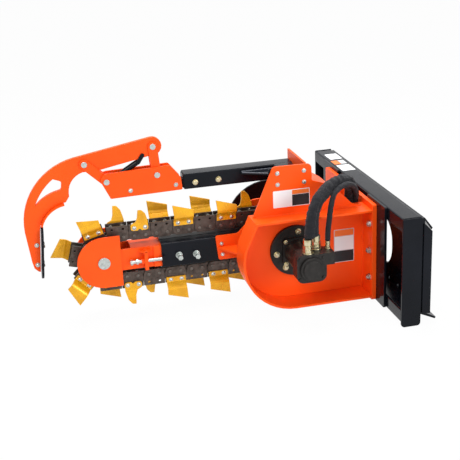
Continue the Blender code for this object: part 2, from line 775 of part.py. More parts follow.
def nose():
    arm = NOSE_FACE - NOSE_PLATE - CLEAR
    body = BOOM_WIDTH / 2 - BOOM_WALL - RUN
    tail = BOOM_FRONT + YOKE_LENGTH
    shoulder = BOOM_FRONT - 0.036
    crotch = NOSE_X + PITCH_RADIUS + 0.030
    tips = NOSE_X + AXLE_RADIUS + 0.004
    outline = [
        (tips, -arm),
        (shoulder, -arm),
        (shoulder, -body),
        (tail, -body),
        (tail, body),
        (shoulder, body),
        (shoulder, arm),
        (tips, arm),
        (tips, arm - YOKE_ARM),
        (crotch, arm - YOKE_ARM),
        (crotch, YOKE_ARM - arm),
        (tips, YOKE_ARM - arm),
    ]
    yoke = flat("z", AXIS_Z - YOKE_HEIGHT / 2, AXIS_Z + YOKE_HEIGHT / 2, outline)
    lug_rear = BOOM_FRONT - 0.066
    lug = block(
        (lug_rear - 0.016, SCREW_Y - 0.018, AXIS_Z - YOKE_HEIGHT / 2),
        (lug_rear, -arm + 0.004, AXIS_Z + YOKE_HEIGHT / 2 - 0.008),
    )
    nut = rod("x", (lug_rear - 0.016 - NUT_HEIGHT, SCREW_Y, SCREW_Z), NUT_HEIGHT + 0.001, 0.014, 6)
    hole = rod("x", (lug_rear - 0.050, SCREW_Y, SCREW_Z), 0.070, SCREW_RADIUS + RUN, 16)
    finish(cut(fuse(yoke, lug, nut), hole), "nose_yoke", "orange")

    start = lug_rear - 0.016 - NUT_HEIGHT - SCREW_REACH
    screw = rod("x", (start, SCREW_Y, SCREW_Z), BOOM_FRONT - CLEAR - start, SCREW_RADIUS, 16)
    grip = rod("x", (start - 0.004, SCREW_Y, SCREW_Z), 0.014, 0.0115, 6)
    finish(fuse(screw, grip), "tension_screw", "zinc")

    bend = arc((NOSE_X, AXIS_Z), NOSE_RADIUS, math.pi / 2, 3 * math.pi / 2, 24)
    shape = [(NOSE_EDGE_X, AXIS_Z + NOSE_RADIUS), *bend, (NOSE_EDGE_X, AXIS_Z - NOSE_RADIUS)]
    hole = ring((NOSE_X, AXIS_Z), AXLE_RADIUS + CLEAR)
    for name, side in (("near", -1), ("far", 1)):
        plate = flat("y", side * NOSE_FACE, side * (NOSE_FACE - NOSE_PLATE), shape, hole)
        finish(plate, "nose_plate_" + name, "orange")

    cap = NOSE_FACE + CLEAR
    axle = rod("y", (NOSE_X, -cap - 0.004, AXIS_Z), 2 * cap + 0.008, AXLE_RADIUS, 24)
    heads = [
        rod("y", (NOSE_X, y, AXIS_Z), 0.008, 0.028, 24) for y in (-cap - 0.008, cap)
    ]
    finish(fuse(axle, *heads), "nose_axle", "zinc")

    rim = PITCH_RADIUS - ROLLER - RUN
    wheel = sleeve(-RAIL_WIDTH / 2, RAIL_WIDTH / 2, rim, 0.028, NOSE_X, AXIS_Z, 48)
    hub = sleeve(-0.042, 0.042, 0.030, AXLE_RADIUS + RUN, NOSE_X, AXIS_Z)
    finish(fuse(wheel, hub), "idler_wheel", "chain")


# Digging chain


def pin_place(index):
    """The centre of a chain pin in the X-Z plane. Pin 0 is above the idler, and they count to the drive."""
    index %= LOOP
    step = math.pi / HALF_TURN
    if index <= STRAIGHT_PITCHES:
        return Vector((NOSE_X + index * PITCH, AXIS_Z + PITCH_RADIUS))
    index -= STRAIGHT_PITCHES
    if index <= HALF_TURN:
        angle = math.pi / 2 - index * step
        return Vector((DRIVE_X, AXIS_Z)) + PITCH_RADIUS * Vector((math.cos(angle), math.sin(angle)))
    index -= HALF_TURN
    if index <= STRAIGHT_PITCHES:
        return Vector((DRIVE_X - index * PITCH, AXIS_Z - PITCH_RADIUS))
    angle = -math.pi / 2 - (index - STRAIGHT_PITCHES) * step
    return Vector((NOSE_X, AXIS_Z)) + PITCH_RADIUS * Vector((math.cos(angle), math.sin(angle)))


def link_frame(index):
    """Local X along the link, local Z outwards, the origin midway between its two pins."""
    first, last = pin_place(index), pin_place(index + 1)
    along = (last - first).normalized()
    middle = (first + last) / 2
    turn = -math.atan2(along.y, along.x)
    return Matrix.Translation((middle.x, 0, middle.y)) @ Matrix.Rotation(turn, 4, "Y")


def placed(obj, frame):
    obj.matrix_basis = frame @ obj.matrix_basis
    return obj


def outer_side_plate(index, side):
    half = PITCH - SIDE_BAR_GAP / 2
    low, high = SIDE_BAR_LOW - PITCH_RADIUS, SIDE_BAR_HIGH - PITCH_RADIUS
    low += PITCH_RADIUS * (1 - math.cos(math.pi / SPROCKET_TEETH))
    corner = 0.016
    outline = [
        (-half, high), (-half, low + corner), (corner - half, low),
        (half - corner, low), (half, low + corner), (half, high),
    ]
    plate = flat("y", side * (LINK_INNER + LINK_PLATE), side * LINK_OUTER, outline)
    return placed(plate, link_frame(index))


def inner_side_plate(index, side, at_joint):
    """The side plate of an inner link, which keeps clear of the next stretch of chain at a joint."""
    reach, height = PITCH / 2, 0.017
    outline = [
        (-reach - height, -0.008), (-reach - 0.006, -height), (reach + 0.006, -height),
        (reach + height, -0.008), (reach + height, 0.008), (reach + 0.006, height),
        (-reach - 0.006, height), (-reach - height, 0.008),
    ]
    face = LINK_INNER + LINK_PLATE + (-CLEAR if at_joint else WELD)
    plate = flat("y", side * LINK_INNER, side * face, outline)
    return placed(plate, link_frame(index))


def roller(index, reach):
    place = pin_place(index)
    return rod("y", (place.x, -reach, place.y), 2 * reach, ROLLER, 8)


def cup_tooth(side):
    """A plate bolted to the side bar. It flares out, folds back in, and is highest at its leading corner."""
    base, flare = LINK_OUTER - 0.001, LINK_OUTER + TOOTH_FLARE
    outline = [
        (base, 0.0265), (LINK_OUTER + TOOTH_PLATE, 0.0265), (LINK_OUTER + TOOTH_PLATE, 0.048),
        (flare + TOOTH_PLATE, 0.074), (flare, 0.134), (flare - TOOTH_PLATE, 0.133), (flare - 0.001, 0.078),
        (base, 0.054),
    ]
    profile = [(side * y, z) for y, z in outline]
    if side < 0:
        profile.reverse()
    tooth = flat("x", -0.050, 0.046, profile)
    for vertex in tooth.data.vertices:
        place = tooth.matrix_basis @ vertex.co
        if place.x > 0 and place.z > 0.1:
            place.z -= 0.029
        elif place.x < 0 and place.z < 0.06:
            place.x += 0.005
        vertex.co = tooth.matrix_basis.inverted() @ place
    return tooth


def fang_tooth(side):
    """A tooth with two bolt lobes and one pointed fin, which leans out from the chain."""
    outline = [
        (-0.041, 0.042), (-0.034, 0.026), (-0.016, 0.026), (0.0, 0.035), (0.016, 0.026),
        (0.034, 0.026), (0.041, 0.042), (0.037, 0.078), (0.029, 0.108), (0.012, 0.127),
        (-0.005, 0.129), (-0.010, 0.088), (-0.018, 0.068), (-0.036, 0.054),
    ]
    tooth = flat("y", side * (LINK_OUTER - 0.001), side * (LINK_OUTER + TOOTH_PLATE), outline)
    for vertex in tooth.data.vertices:
        place = tooth.matrix_basis @ vertex.co
        place.y += side * 0.28 * max(place.z - 0.060, 0)
        vertex.co = tooth.matrix_basis.inverted() @ place
    return tooth


def chain_segment(name, first, last):
    """One stretch of the endless chain, from link to link, with its side plates and teeth as one body."""
    outer, inner, joined = [], [], []
    for index in range(first, last + 1):
        at_joint = index in (first, last)
        if index % 2:
            outer += [outer_side_plate(index, side) for side in (-1, 1)]
        else:
            inner += [inner_side_plate(index, side, at_joint) for side in (-1, 1)]
            for pin_index in (index, index + 1):
                inside = first < pin_index <= last
                reach = LINK_INNER + (LINK_PLATE if at_joint and inside else 0) + 0.001
                joined.append(roller(pin_index, reach))
        if index % LOOP in TEETH:
            shape, side = TEETH[index % LOOP]
            tooth = cup_tooth(side) if shape == "cup" else fang_tooth(side)
            joined.append(placed(tooth, link_frame(index)))
    finish(fuse(merged(outer), merged(inner), merged(joined)), name, "chain")


def digging_chain():
    """The runs begin and end on an outer link, and the wraps on an inner one."""
    over = STRAIGHT_PITCHES
    under = over + HALF_TURN
    end = under + over
    chain_segment("chain_upper_run", 1, over - 2)
    chain_segment("chain_drive_wrap", over - 1, under - 1)
    chain_segment("chain_lower_run", under, end - 1)
    chain_segment("chain_nose_wrap", end, LOOP)


# Crumber


def bar_outline(low, high, width):
    """A link's outline with round ends about its two pins."""
    low, high = Vector(low), Vector(high)
    along = high - low
    angle = math.atan2(along.y, along.x)
    return arc(high, width, angle - math.pi / 2, angle + math.pi / 2, 8) + arc(
        low, width, angle + math.pi / 2, angle + 3 * math.pi / 2, 8
    )


def pin(name, place, reach):
    x, z = place
    shank = rod("y", (x, -reach - 0.002, z), 2 * reach + 0.004, PIN_RADIUS, 16)
    heads = [rod("y", (x, y, z), 0.006, 0.0135, 12) for y in (-reach - 0.006 - CLEAR, reach + CLEAR)]
    finish(fuse(shank, *heads), name, "zinc")


def crumber_mount():
    half = CRUMBER_TUBE / 2
    size = (CRUMBER_TUBE, CRUMBER_TUBE)
    rear = CRUMBER_REAR - CLEAR
    tube = hollow_tube("x", CRUMBER_FRONT, rear, (0, CRUMBER_Z), size, CRUMBER_WALL, 0.008)
    finish(tube, "crumber_tube", "black")
    near = FIN_Y + FIN_PLATE + CLEAR
    foot = rounded(
        [(-0.585, 0.325, 0.008), (rear, 0.325, 0.008), (rear, 0.426, 0.008), (-0.585, 0.426, 0.008)], 3
    )
    bolts = [ring(place, CRUMBER_BOLT, 12) for place in FIN_BOLTS]
    plate = flat("y", near, near + FIN_PLATE, foot, *bolts)
    front = rear - 0.092
    middle = ((front + rear) / 2, CRUMBER_Z)
    start = near + FIN_PLATE - 0.001
    bridge = hollow_tube("y", start, -half - CLEAR, middle, (rear - front, CRUMBER_TUBE), 0.006, 0.008)
    tip, root, face = front - 0.157, front + 0.001, -half - CLEAR
    web = [(tip, face), (tip, face - 0.014), (root, face - 0.097), (root, face)]
    gusset = flat("z", CRUMBER_Z + 0.010, CRUMBER_Z + 0.018, web)
    finish(fuse(plate, bridge, gusset), "crumber_bridge", "black")


def crumber_slide():
    """The bar that slides in the crumber tube, and the two plates that carry the links."""
    half = CRUMBER_TUBE / 2 - CRUMBER_WALL - RUN
    tongue = BRACKET_INNER - CLEAR
    corners = ((1, -1), (1, 1), (-1, 1), (-1, -1))
    section = rounded([(s * half, CRUMBER_Z + t * half, 0.004) for s, t in corners], 2)
    inside = flat("x", CRUMBER_FRONT - 0.004, -0.620, section)
    front = block(
        (-1.245, -tongue, CRUMBER_Z - half + 0.001), (CRUMBER_FRONT + 0.02, tongue, CRUMBER_Z + 0.010)
    )
    finish(fuse(inside, front), "crumber_slide_bar", "black")
    rear = CRUMBER_FRONT - 0.007
    outline = rounded(
        [
            (FRONT_LINK_LOW[0] - 0.041, FRONT_LINK_LOW[1] + 0.037, 0.030),
            (FRONT_LINK_LOW[0] + 0.013, CRUMBER_Z - 0.045, 0.006),
            (rear, CRUMBER_Z - 0.038, 0.006),
            (rear - 0.005, CRUMBER_Z + 0.021, 0.010),
            (rear - 0.053, REAR_LINK_LOW[1] + 0.038, 0.012),
        ]
    )
    holes = [ring(place, PIN_RADIUS + CLEAR, 16) for place in (FRONT_LINK_LOW, REAR_LINK_LOW)]
    for name, side in (("near", -1), ("far", 1)):
        plate = flat("y", side * BRACKET_INNER, side * (BRACKET_INNER + BRACKET_PLATE), outline, *holes)
        finish(plate, "crumber_bracket_" + name, "orange")
    pin("front_link_pin", FRONT_LINK_LOW, BRACKET_INNER + BRACKET_PLATE)
    pin("rear_link_pin", REAR_LINK_LOW, BRACKET_INNER + BRACKET_PLATE)


def crumber_link(name, low, high, width, slack):
    """Two side bars joined by a spacer round the lower pin, with the arm between them at the top."""
    face = ARM_PLATE / 2 + RUN
    holes = [ring(low, PIN_RADIUS + RUN, 16), ring(high, PIN_RADIUS + slack, 16)]
    sides = [
        flat("y", side * face, side * (face + LINK_BAR), bar_outline(low, high, width), *holes)
        for side in (-1, 1)
    ]
    spacer = sleeve(-face - 0.001, face + 0.001, PIN_RADIUS + 0.006, PIN_RADIUS + RUN + WELD, *low, 16)
    finish(fuse(merged(sides), spacer), name, "orange")


def crumber_arm():
    big, small = Vector((-1.360, 0.210)), Vector((-1.460, 0.175))
    throat = Vector((-1.358, 0.350))
    top = REAR_LINK_HIGH
    slope = math.radians(100.7)
    outline = [
        *arc(top, 0.042, math.radians(-60), slope, 8),
        *arc(big, 0.302, slope, math.radians(184), 14),
        (-1.645, 0.045),
        (-1.638, 0.014),
        (-1.622, -0.003),
        (-1.612, -0.006),
        *arc(small, 0.135, math.radians(176), math.radians(93), 8),
        (-1.450, 0.335),
        *arc(throat, 0.092, math.radians(180), math.radians(104), 7),
        (-1.310, 0.440),
    ]
    window = rounded([
        *arc(big, 0.262, math.radians(159), math.radians(126), 7),
        (-1.478, 0.408, 0.012),
        (-1.482, 0.368, 0.014),
        *arc(small, 0.195, math.radians(100), math.radians(135), 6),
    ])
    holes = [ring(place, PIN_RADIUS + CLEAR, 16) for place in (REAR_LINK_HIGH, FRONT_LINK_HIGH)]
    half = ARM_PLATE / 2
    finish(flat("y", -half, half, outline, window, *holes), "crumber_arm", "orange")
    pin("arm_rear_pin", REAR_LINK_HIGH, half + RUN + LINK_BAR)
    pin("arm_front_pin", FRONT_LINK_HIGH, half + RUN + LINK_BAR)

    inner = 0.135 - 0.0010
    strip = [
        *arc(small, inner, math.radians(163), math.radians(97), 8),
        *arc(small, inner - 0.007, math.radians(97), math.radians(163), 8),
    ]
    finish(flat("y", -0.034, 0.034, strip), "crumber_rib", "orange")

    tip_x, tip_z = BLADE_TIP
    top_x = small.x + 0.135 * math.cos(math.radians(176))
    lean = math.atan2(tip_x - top_x, 0.190)
    half = BLADE_WIDTH / 2
    corner = 0.9 * half
    ends = ((-half, 0), (half, 0), (half, BLADE_LENGTH), (-half, BLADE_LENGTH))
    blade = flat("x", 0, 0.011, rounded([(*end, corner) for end in ends]))
    place = Matrix.Translation((tip_x + CLEAR, 0, tip_z)) @ Matrix.Rotation(-lean, 4, "Y")
    finish(merged([placed(blade, place)]), "crumber_blade", "black")


def strut():
    """A support strut: a tube pinned in the brackets, and a rod with a cover, forked round the arm."""
    low, top = Vector(STRUT_LOW), Vector(STRUT_TOP)
    along = top - low
    turn = Matrix.Rotation(math.pi / 2 - math.atan2(along.y, along.x), 4, "Y")
    frame = Matrix.Translation((low.x, 0, low.y)) @ turn
    outer = 0.0115
    tube = flat("z", 0.013, 0.088, ring((0, 0), outer, 20), ring((0, 0), STRUT_ROD + RUN, 16))
    eye = sleeve(-0.0160, 0.0160, PIN_RADIUS + 0.006, PIN_RADIUS + RUN, *low, 20)
    finish(fuse(eye, placed(tube, frame)), "strut_tube", "black")
    face = ARM_PLATE / 2 + RUN
    slider = placed(rod("z", (0, 0, 0.034), along.length - 0.034, STRUT_ROD, 16), frame)
    rim, bore = ring((0, 0), STRUT_COVER, 20), ring((0, 0), outer + RUN, 20)
    cover = placed(flat("z", 0.046, along.length - 0.011, rim, bore), frame)
    ears = [
        flat("y", side * face, side * (face + 0.006), bar_outline(STRUT_TOP, STRUT_EAR, 0.009))
        for side in (-1, 1)
    ]
    yoke = placed(rod("z", (0, 0, along.length - 0.012), 0.012, STRUT_COVER - 0.0003, 20), frame)
    finish(fuse(slider, yoke, cover, *ears), "strut_rod", "black")
    reach = BRACKET_INNER - CLEAR
    finish(rod("y", (low.x, -reach, low.y), 2 * reach, PIN_RADIUS, 16), "strut_pin", "zinc")


# Hoses


def hose_pair():
    """Two hoses, one above the other along one route, wider apart where they leave the motor's ports."""
    (ax, ay), (bx, by) = PORTS.values()
    heading = Vector((bx - ax, by - ay, 0)).normalized()
    sideways = heading.cross(Vector((0, 0, 1)))
    port_spread = math.hypot(bx - ax, by - ay) / 2
    spread = HOSE_RADIUS + 0.001
    base = PORT_TOP + FITTING_HEIGHT + HOSE_STUB
    start = ((ax + bx) / 2, (ay + by) / 2)
    knots = [(*start, base), (*start, base + 0.016), *HOSE_ROUTE, (*HOSE_END, COUPLER_TOP + HOSE_STUB)]
    route = smooth_route(knots, 4)
    lines = {-1: [], 1: []}
    for i, place in enumerate(route):
        along = (route[min(i + 1, len(route) - 1)] - route[max(i - 1, 0)]).normalized()
        if i in (0, len(route) - 1):
            along = Vector((0, 0, 1 if i == 0 else -1))
        inwards = along.cross(sideways)
        share = min(i / 10, 1)
        share = share * share * (3 - 2 * share)
        offset = port_spread + (spread - port_spread) * share
        for side, line in lines.items():
            line.append(place + inwards * offset * side)
    return lines


def hose(name, line, base, radius):
    """A hose along a line, with a short straight end down to the fitting and to the coupler."""
    first = Vector((*line[0].xy, base + CLEAR))
    last = Vector((*line[-1].xy, COUPLER_TOP + CLEAR))
    finish(pipe([first, *line, last], radius), name, "sleeve")


def hoses():
    lines = hose_pair()
    ends = [(*DRAIN_END, 0.009)]
    for name, side in (("pressure", -1), ("return", 1)):
        hose(name + "_hose", lines[side], PORT_TOP + FITTING_HEIGHT, HOSE_RADIUS)
        ends.append((*lines[side][-1].xy, 0.0140))
    base = PORT_TOP + DRAIN_FITTING_HEIGHT
    knots = [(*DRAIN_PORT, base + HOSE_STUB), *DRAIN_ROUTE, (*DRAIN_END, COUPLER_TOP + HOSE_STUB)]
    hose("drain_hose", smooth_route(knots, 3), base, DRAIN_RADIUS)
    top = COUPLER_TOP - COUPLER_HEIGHT
    manifold = block(
        (HOSE_END[0] - 0.034, DRAIN_END[1] - 0.012, top - MANIFOLD_HEIGHT),
        (HEAD_FACE - CLEAR, HOSE_END[1] + 0.036, top),
    )
    couplers = [
        rod("z", (x, y, top - 0.002), COUPLER_HEIGHT + 0.002, radius, 20) for x, y, radius in ends
    ]
    finish(fuse(manifold, *couplers), "hose_manifold", "black")


def main():
    mount_frame()
    quick_attach()
    posts()
    head()
    motor()
    drive_line()
    boom()
    nose()
    digging_chain()
    crumber_mount()
    crumber_slide()
    crumber_link("crumber_front_link", FRONT_LINK_LOW, FRONT_LINK_HIGH, 0.021, FRONT_SLACK)
    crumber_link("crumber_rear_link", REAR_LINK_LOW, REAR_LINK_HIGH, 0.021, RUN)
    crumber_arm()
    strut()
    hoses()


clear_scene()
PARTS = collection("trencher")
HELPERS = collection("cutters")
main()
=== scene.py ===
"""The looks of the chain trencher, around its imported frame.

Metres, +Z up, +X to the carrier, +Y to the far side, as in the CAD.
"""

import json
import math

import bmesh
import bpy
from mathutils import Matrix, Vector, noise

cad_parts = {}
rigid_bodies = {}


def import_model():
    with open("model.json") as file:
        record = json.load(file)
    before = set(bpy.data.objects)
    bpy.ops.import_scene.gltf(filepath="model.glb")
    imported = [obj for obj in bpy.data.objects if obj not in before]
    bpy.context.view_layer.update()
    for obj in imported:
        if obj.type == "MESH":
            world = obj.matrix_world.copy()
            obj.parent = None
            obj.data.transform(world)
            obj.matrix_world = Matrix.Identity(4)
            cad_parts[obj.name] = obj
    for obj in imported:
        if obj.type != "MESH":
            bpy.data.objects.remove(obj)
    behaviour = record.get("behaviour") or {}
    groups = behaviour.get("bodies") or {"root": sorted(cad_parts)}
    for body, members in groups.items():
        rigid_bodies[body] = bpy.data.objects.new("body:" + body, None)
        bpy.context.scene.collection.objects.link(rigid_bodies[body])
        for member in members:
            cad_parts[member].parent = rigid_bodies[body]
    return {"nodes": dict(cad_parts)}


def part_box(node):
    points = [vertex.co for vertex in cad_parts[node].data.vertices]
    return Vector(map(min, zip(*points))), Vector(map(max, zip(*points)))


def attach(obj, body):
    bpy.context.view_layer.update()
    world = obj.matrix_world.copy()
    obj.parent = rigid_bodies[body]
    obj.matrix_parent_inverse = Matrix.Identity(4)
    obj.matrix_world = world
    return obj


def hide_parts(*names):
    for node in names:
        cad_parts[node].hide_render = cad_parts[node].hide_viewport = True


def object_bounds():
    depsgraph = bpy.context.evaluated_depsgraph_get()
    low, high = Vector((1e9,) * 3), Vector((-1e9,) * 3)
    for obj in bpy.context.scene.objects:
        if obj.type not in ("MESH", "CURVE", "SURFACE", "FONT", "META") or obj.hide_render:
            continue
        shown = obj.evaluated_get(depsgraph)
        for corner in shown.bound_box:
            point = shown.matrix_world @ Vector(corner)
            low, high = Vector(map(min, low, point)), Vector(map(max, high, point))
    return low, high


for leftover in list(bpy.data.objects):
    bpy.data.objects.remove(leftover)

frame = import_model()
CAD_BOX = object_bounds()

# Sizes that the looks share with the CAD.
AXIS_Z = 0.020
DRIVE_X = -0.465
PITCH = 0.0508
STRAIGHT_PITCHES = 17
HALF_TURN = 6
LOOP = 2 * (STRAIGHT_PITCHES + HALF_TURN)
PITCH_RADIUS = PITCH / (2 * math.sin(math.pi / (2 * HALF_TURN)))
NOSE_X = DRIVE_X - STRAIGHT_PITCHES * PITCH
ROLLER = 0.0125
LINK_INNER = 0.0140
LINK_PLATE = 0.0075
LINK_OUTER = LINK_INNER + 2 * LINK_PLATE
# The side plates' inner and outer edges, from a wheel's axis and then from a link's own middle.
INNER_EDGE = 0.075
OUTER_EDGE = 0.153
SIDE_LOW = INNER_EDGE - PITCH_RADIUS * math.cos(math.pi / (2 * HALF_TURN))
SIDE_HIGH = OUTER_EDGE - PITCH_RADIUS
HEAD_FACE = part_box("head_back_plate")[0].x
PAN_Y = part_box("head_motor_plate")[0].y
FIN_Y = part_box("head_fin")[0].y
RING_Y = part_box("motor_adapter_ring")[0].y
PORT_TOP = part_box("motor_body")[1].z
PORT_Y = -0.405


# Materials


class Nodes:
    """A small helper that wires a Principled material from procedural textures in object space."""

    def __init__(self, name, colour, roughness, metallic=0.0, coat=0.0, coat_roughness=0.1):
        self.material = bpy.data.materials.new(name)
        self.material.use_nodes = True
        self.tree = self.material.node_tree
        self.shader = self.tree.nodes["Principled BSDF"]
        inputs = self.shader.inputs
        inputs["Base Color"].default_value = (*colour, 1)
        inputs["Roughness"].default_value = roughness
        inputs["Metallic"].default_value = metallic
        inputs["Coat Weight"].default_value = coat
        inputs["Coat Roughness"].default_value = coat_roughness
        self.place = self.tree.nodes.new("ShaderNodeTexCoord").outputs["Object"]

    def add(self, kind, **values):
        node = self.tree.nodes.new(kind)
        for name, value in values.items():
            if name in node.inputs:
                node.inputs[name].default_value = value
            else:
                setattr(node, name, value)
        return node

    def link(self, out, into):
        self.tree.links.new(out, into)

    def noise(self, scale, detail, roughness=0.5, stretch=None):
        node = self.add("ShaderNodeTexNoise", Scale=scale, Detail=detail, Roughness=roughness)
        place = self.place
        if stretch:
            mapping = self.add("ShaderNodeMapping", Scale=stretch)
            self.link(place, mapping.inputs["Vector"])
            place = mapping.outputs["Vector"]
        self.link(place, node.inputs["Vector"])
        return node.outputs["Fac"]

    def ramp(self, out, stops):
        node = self.add("ShaderNodeValToRGB")
        ramp = node.color_ramp
        while len(ramp.elements) < len(stops):
            ramp.elements.new(0.5)
        for element, (where, colour) in zip(ramp.elements, stops):
            element.position = where
            element.color = (*colour, 1)
        self.link(out, node.inputs["Fac"])
        return node.outputs["Color"]

    def spread(self, out, low, high):
        """The middle of a noise, 0.3 to 0.7, stretched over low to high."""
        node = self.add("ShaderNodeMapRange")
        node.inputs["From Min"].default_value = 0.3
        node.inputs["From Max"].default_value = 0.7
        node.inputs["To Min"].default_value = low
        node.inputs["To Max"].default_value = high
        self.link(out, node.inputs["Value"])
        return node.outputs["Result"]

    def bump(self, out, distance, strength):
        node = self.add("ShaderNodeBump", Strength=strength, Distance=distance)
        self.link(out, node.inputs["Height"])
        self.link(node.outputs["Normal"], self.shader.inputs["Normal"])


def paint(name, dark, light, roughness, coat=0.0, grain=0.00025, gloss=0.3):
    """Sprayed enamel: a slow change of shade, and a fine orange-peel skin."""
    made = Nodes(name, light, roughness, coat=coat, coat_roughness=0.12)
    made.shader.inputs["Specular IOR Level"].default_value = gloss
    shade = made.noise(3.5, 3)
    made.link(made.ramp(shade, [(0.30, dark), (0.70, light)]), made.shader.inputs["Base Color"])
    peel = made.noise(260, 2)
    haze = made.noise(14, 4)
    polish = made.spread(haze, roughness - 0.06, roughness + 0.08)
    made.link(polish, made.shader.inputs["Roughness"])
    made.bump(peel, grain, 0.35)
    return made.material


def metal(name, dark, light, roughness, metallic, scale, grain=0.0002, stretch=None):
    """Plated or bare metal with mottled colour and uneven polish."""
    made = Nodes(name, light, roughness, metallic)
    mottle = made.noise(scale, 5, 0.6, stretch)
    made.link(made.ramp(mottle, [(0.32, dark), (0.68, light)]), made.shader.inputs["Base Color"])
    polish = made.spread(mottle, roughness + 0.10, roughness - 0.08)
    made.link(polish, made.shader.inputs["Roughness"])
    made.bump(made.noise(scale * 5, 4), grain, 0.5)
    return made.material


def sleeve_material():
    """A woven nylon sleeve: two crossing sets of yarns, with painted shade in the grooves between them."""
    made = Nodes("woven_sleeve", (0.012, 0.012, 0.014), 0.62)
    made.shader.inputs["Specular IOR Level"].default_value = 0.12
    made.shader.inputs["Sheen Weight"].default_value = 0.10
    made.shader.inputs["Sheen Roughness"].default_value = 0.5
    weave = made.add("ShaderNodeUVMap")
    heights = []
    for angle in (45, -45):
        turn = made.add("ShaderNodeMapping")
        turn.inputs["Rotation"].default_value = (0, 0, math.radians(angle))
        made.link(weave.outputs["UV"], turn.inputs["Vector"])
        wave = made.add("ShaderNodeTexWave", Scale=130.0, Distortion=0.6, Detail=1.0)
        made.link(turn.outputs["Vector"], wave.inputs["Vector"])
        heights.append(wave.outputs["Fac"])
    both = made.add("ShaderNodeMath", operation="MAXIMUM")
    made.link(heights[0], both.inputs[0])
    made.link(heights[1], both.inputs[1])
    # Painted shade: the low parts of the weave are darker than the raised yarns.
    made.link(
        made.ramp(both.outputs["Value"], [(0.2, (0.004, 0.004, 0.005)), (0.9, (0.016, 0.016, 0.020))]),
        made.shader.inputs["Base Color"],
    )
    made.bump(both.outputs["Value"], 0.0006, 0.8)
    return made.material


ORANGE = paint("orange_enamel", (0.92, 0.078, 0.005), (0.98, 0.098, 0.007), 0.34, gloss=0.14)
BLACK = paint("black_enamel", (0.003, 0.0038, 0.006), (0.006, 0.0075, 0.012), 0.20, gloss=0.15)
# Painted highlight: a lighter copy of the black enamel, for the light line along the crumber bridge's web.
BLACK_PAINTED_HIGHLIGHT = paint("black_enamel_painted_highlight", (0.045, 0.050, 0.065), (0.090, 0.098, 0.120), 0.32, gloss=0.4)
CHAIN = metal("chain_steel", (0.050, 0.038, 0.032), (0.120, 0.092, 0.078), 0.42, 0.75, 45)
CHAIN_PIN = metal("chain_pin_steel", (0.085, 0.072, 0.063), (0.20, 0.175, 0.155), 0.38, 0.85, 70)
RAIL = metal("worn_rail_steel", (0.16, 0.16, 0.16), (0.34, 0.34, 0.33), 0.34, 1.0, 30, stretch=(1, 8, 8))
GOLD = metal("gold_enamel", (0.66, 0.31, 0.006), (0.88, 0.45, 0.008), 0.28, 0.30, 16, 0.0002)
ZINC = metal("zinc_plate", (0.42, 0.45, 0.43), (0.68, 0.72, 0.70), 0.30, 1.0, 90)
YELLOW_ZINC = metal("yellow_zinc_plate", (0.44, 0.37, 0.20), (0.78, 0.71, 0.50), 0.28, 1.0, 60)
CASTING = metal("motor_casting", (0.010, 0.009, 0.008), (0.024, 0.021, 0.019), 0.42, 0.20, 40, 0.0006)
CASTING.node_tree.nodes["Principled BSDF"].inputs["Specular IOR Level"].default_value = 0.3
SLEEVE = sleeve_material()
LABEL_WHITE = paint("label_white", (0.76, 0.77, 0.78), (0.84, 0.84, 0.85), 0.42, 0.1, 0.00005)
LABEL_PALE = paint("label_pale", (0.52, 0.53, 0.54), (0.60, 0.61, 0.62), 0.42, 0.1, 0.00005)
LABEL_DARK = paint("label_dark", (0.012, 0.012, 0.014), (0.022, 0.022, 0.024), 0.42, 0.1, 0.00005)
LABEL_ORANGE = paint("label_orange", (0.80, 0.16, 0.02), (0.90, 0.20, 0.03), 0.42, 0.1, 0.00005)


# Shapes


def evaluated(obj):
    """The object's mesh with its modifiers and its place applied. The object is removed."""
    if obj.name not in bpy.context.scene.collection.all_objects:
        bpy.context.scene.collection.objects.link(obj)
    bpy.context.view_layer.update()
    graph = bpy.context.evaluated_depsgraph_get()
    mesh = bpy.data.meshes.new_from_object(obj.evaluated_get(graph))
    mesh.transform(obj.matrix_world)
    bpy.data.objects.remove(obj)
    return mesh


def soften(obj, width, angle):
    """Bevel the edges that turn by more than an angle."""
    modifier = obj.modifiers.new("Bevel", "BEVEL")
    modifier.width = width
    modifier.segments = 2
    modifier.limit_method = "ANGLE"
    modifier.angle_limit = math.radians(angle)
    return obj


def piece(mesh, name, material, body="frame", sharp=32):
    """A visible piece of the object, which rides on a body."""
    mesh.materials.clear()
    mesh.materials.append(material)
    mesh.polygons.foreach_set("use_smooth", [True] * len(mesh.polygons))
    mesh.set_sharp_from_angle(angle=math.radians(sharp))
    obj = bpy.data.objects.new(name, mesh)
    mesh.name = name
    bpy.context.scene.collection.objects.link(obj)
    weigh = obj.modifiers.new("Normals", "WEIGHTED_NORMAL")
    weigh.keep_sharp = True
    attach(obj, body)
    return obj


def built(build):
    """An object whose mesh the given function makes."""
    mesh = bpy.data.meshes.new("shape")
    shape = bmesh.new()
    build(shape)
    bmesh.ops.recalc_face_normals(shape, faces=shape.faces)
    shape.to_mesh(mesh)
    shape.free()
    return bpy.data.objects.new("shape", mesh)


def joined(meshes, places=(Matrix.Identity(4),)):
    """One mesh of copies of the given ones at each place."""
    shape = bmesh.new()
    for place in places:
        for mesh in meshes:
            copy = mesh.copy()
            copy.transform(place)
            shape.from_mesh(copy)
            bpy.data.meshes.remove(copy)
    mesh = bpy.data.meshes.new("shape")
    shape.to_mesh(mesh)
    shape.free()
    return mesh


AIM = {
    "x": Matrix.Rotation(math.pi / 2, 4, "Y"),
    "y": Matrix.Rotation(-math.pi / 2, 4, "X"),
    "z": Matrix.Identity(4),
}


def rod(length, radius, sides=24, tip_radius=None, edge=0.0008):
    """A bevelled cylinder or cone up +Z from the origin."""

    def build(shape):
        bmesh.ops.create_cone(
            shape, cap_ends=True, segments=sides, radius1=radius,
            radius2=radius if tip_radius is None else tip_radius, depth=length,
            matrix=Matrix.Translation((0, 0, length / 2)),
        )

    return evaluated(soften(built(build), edge, 40))


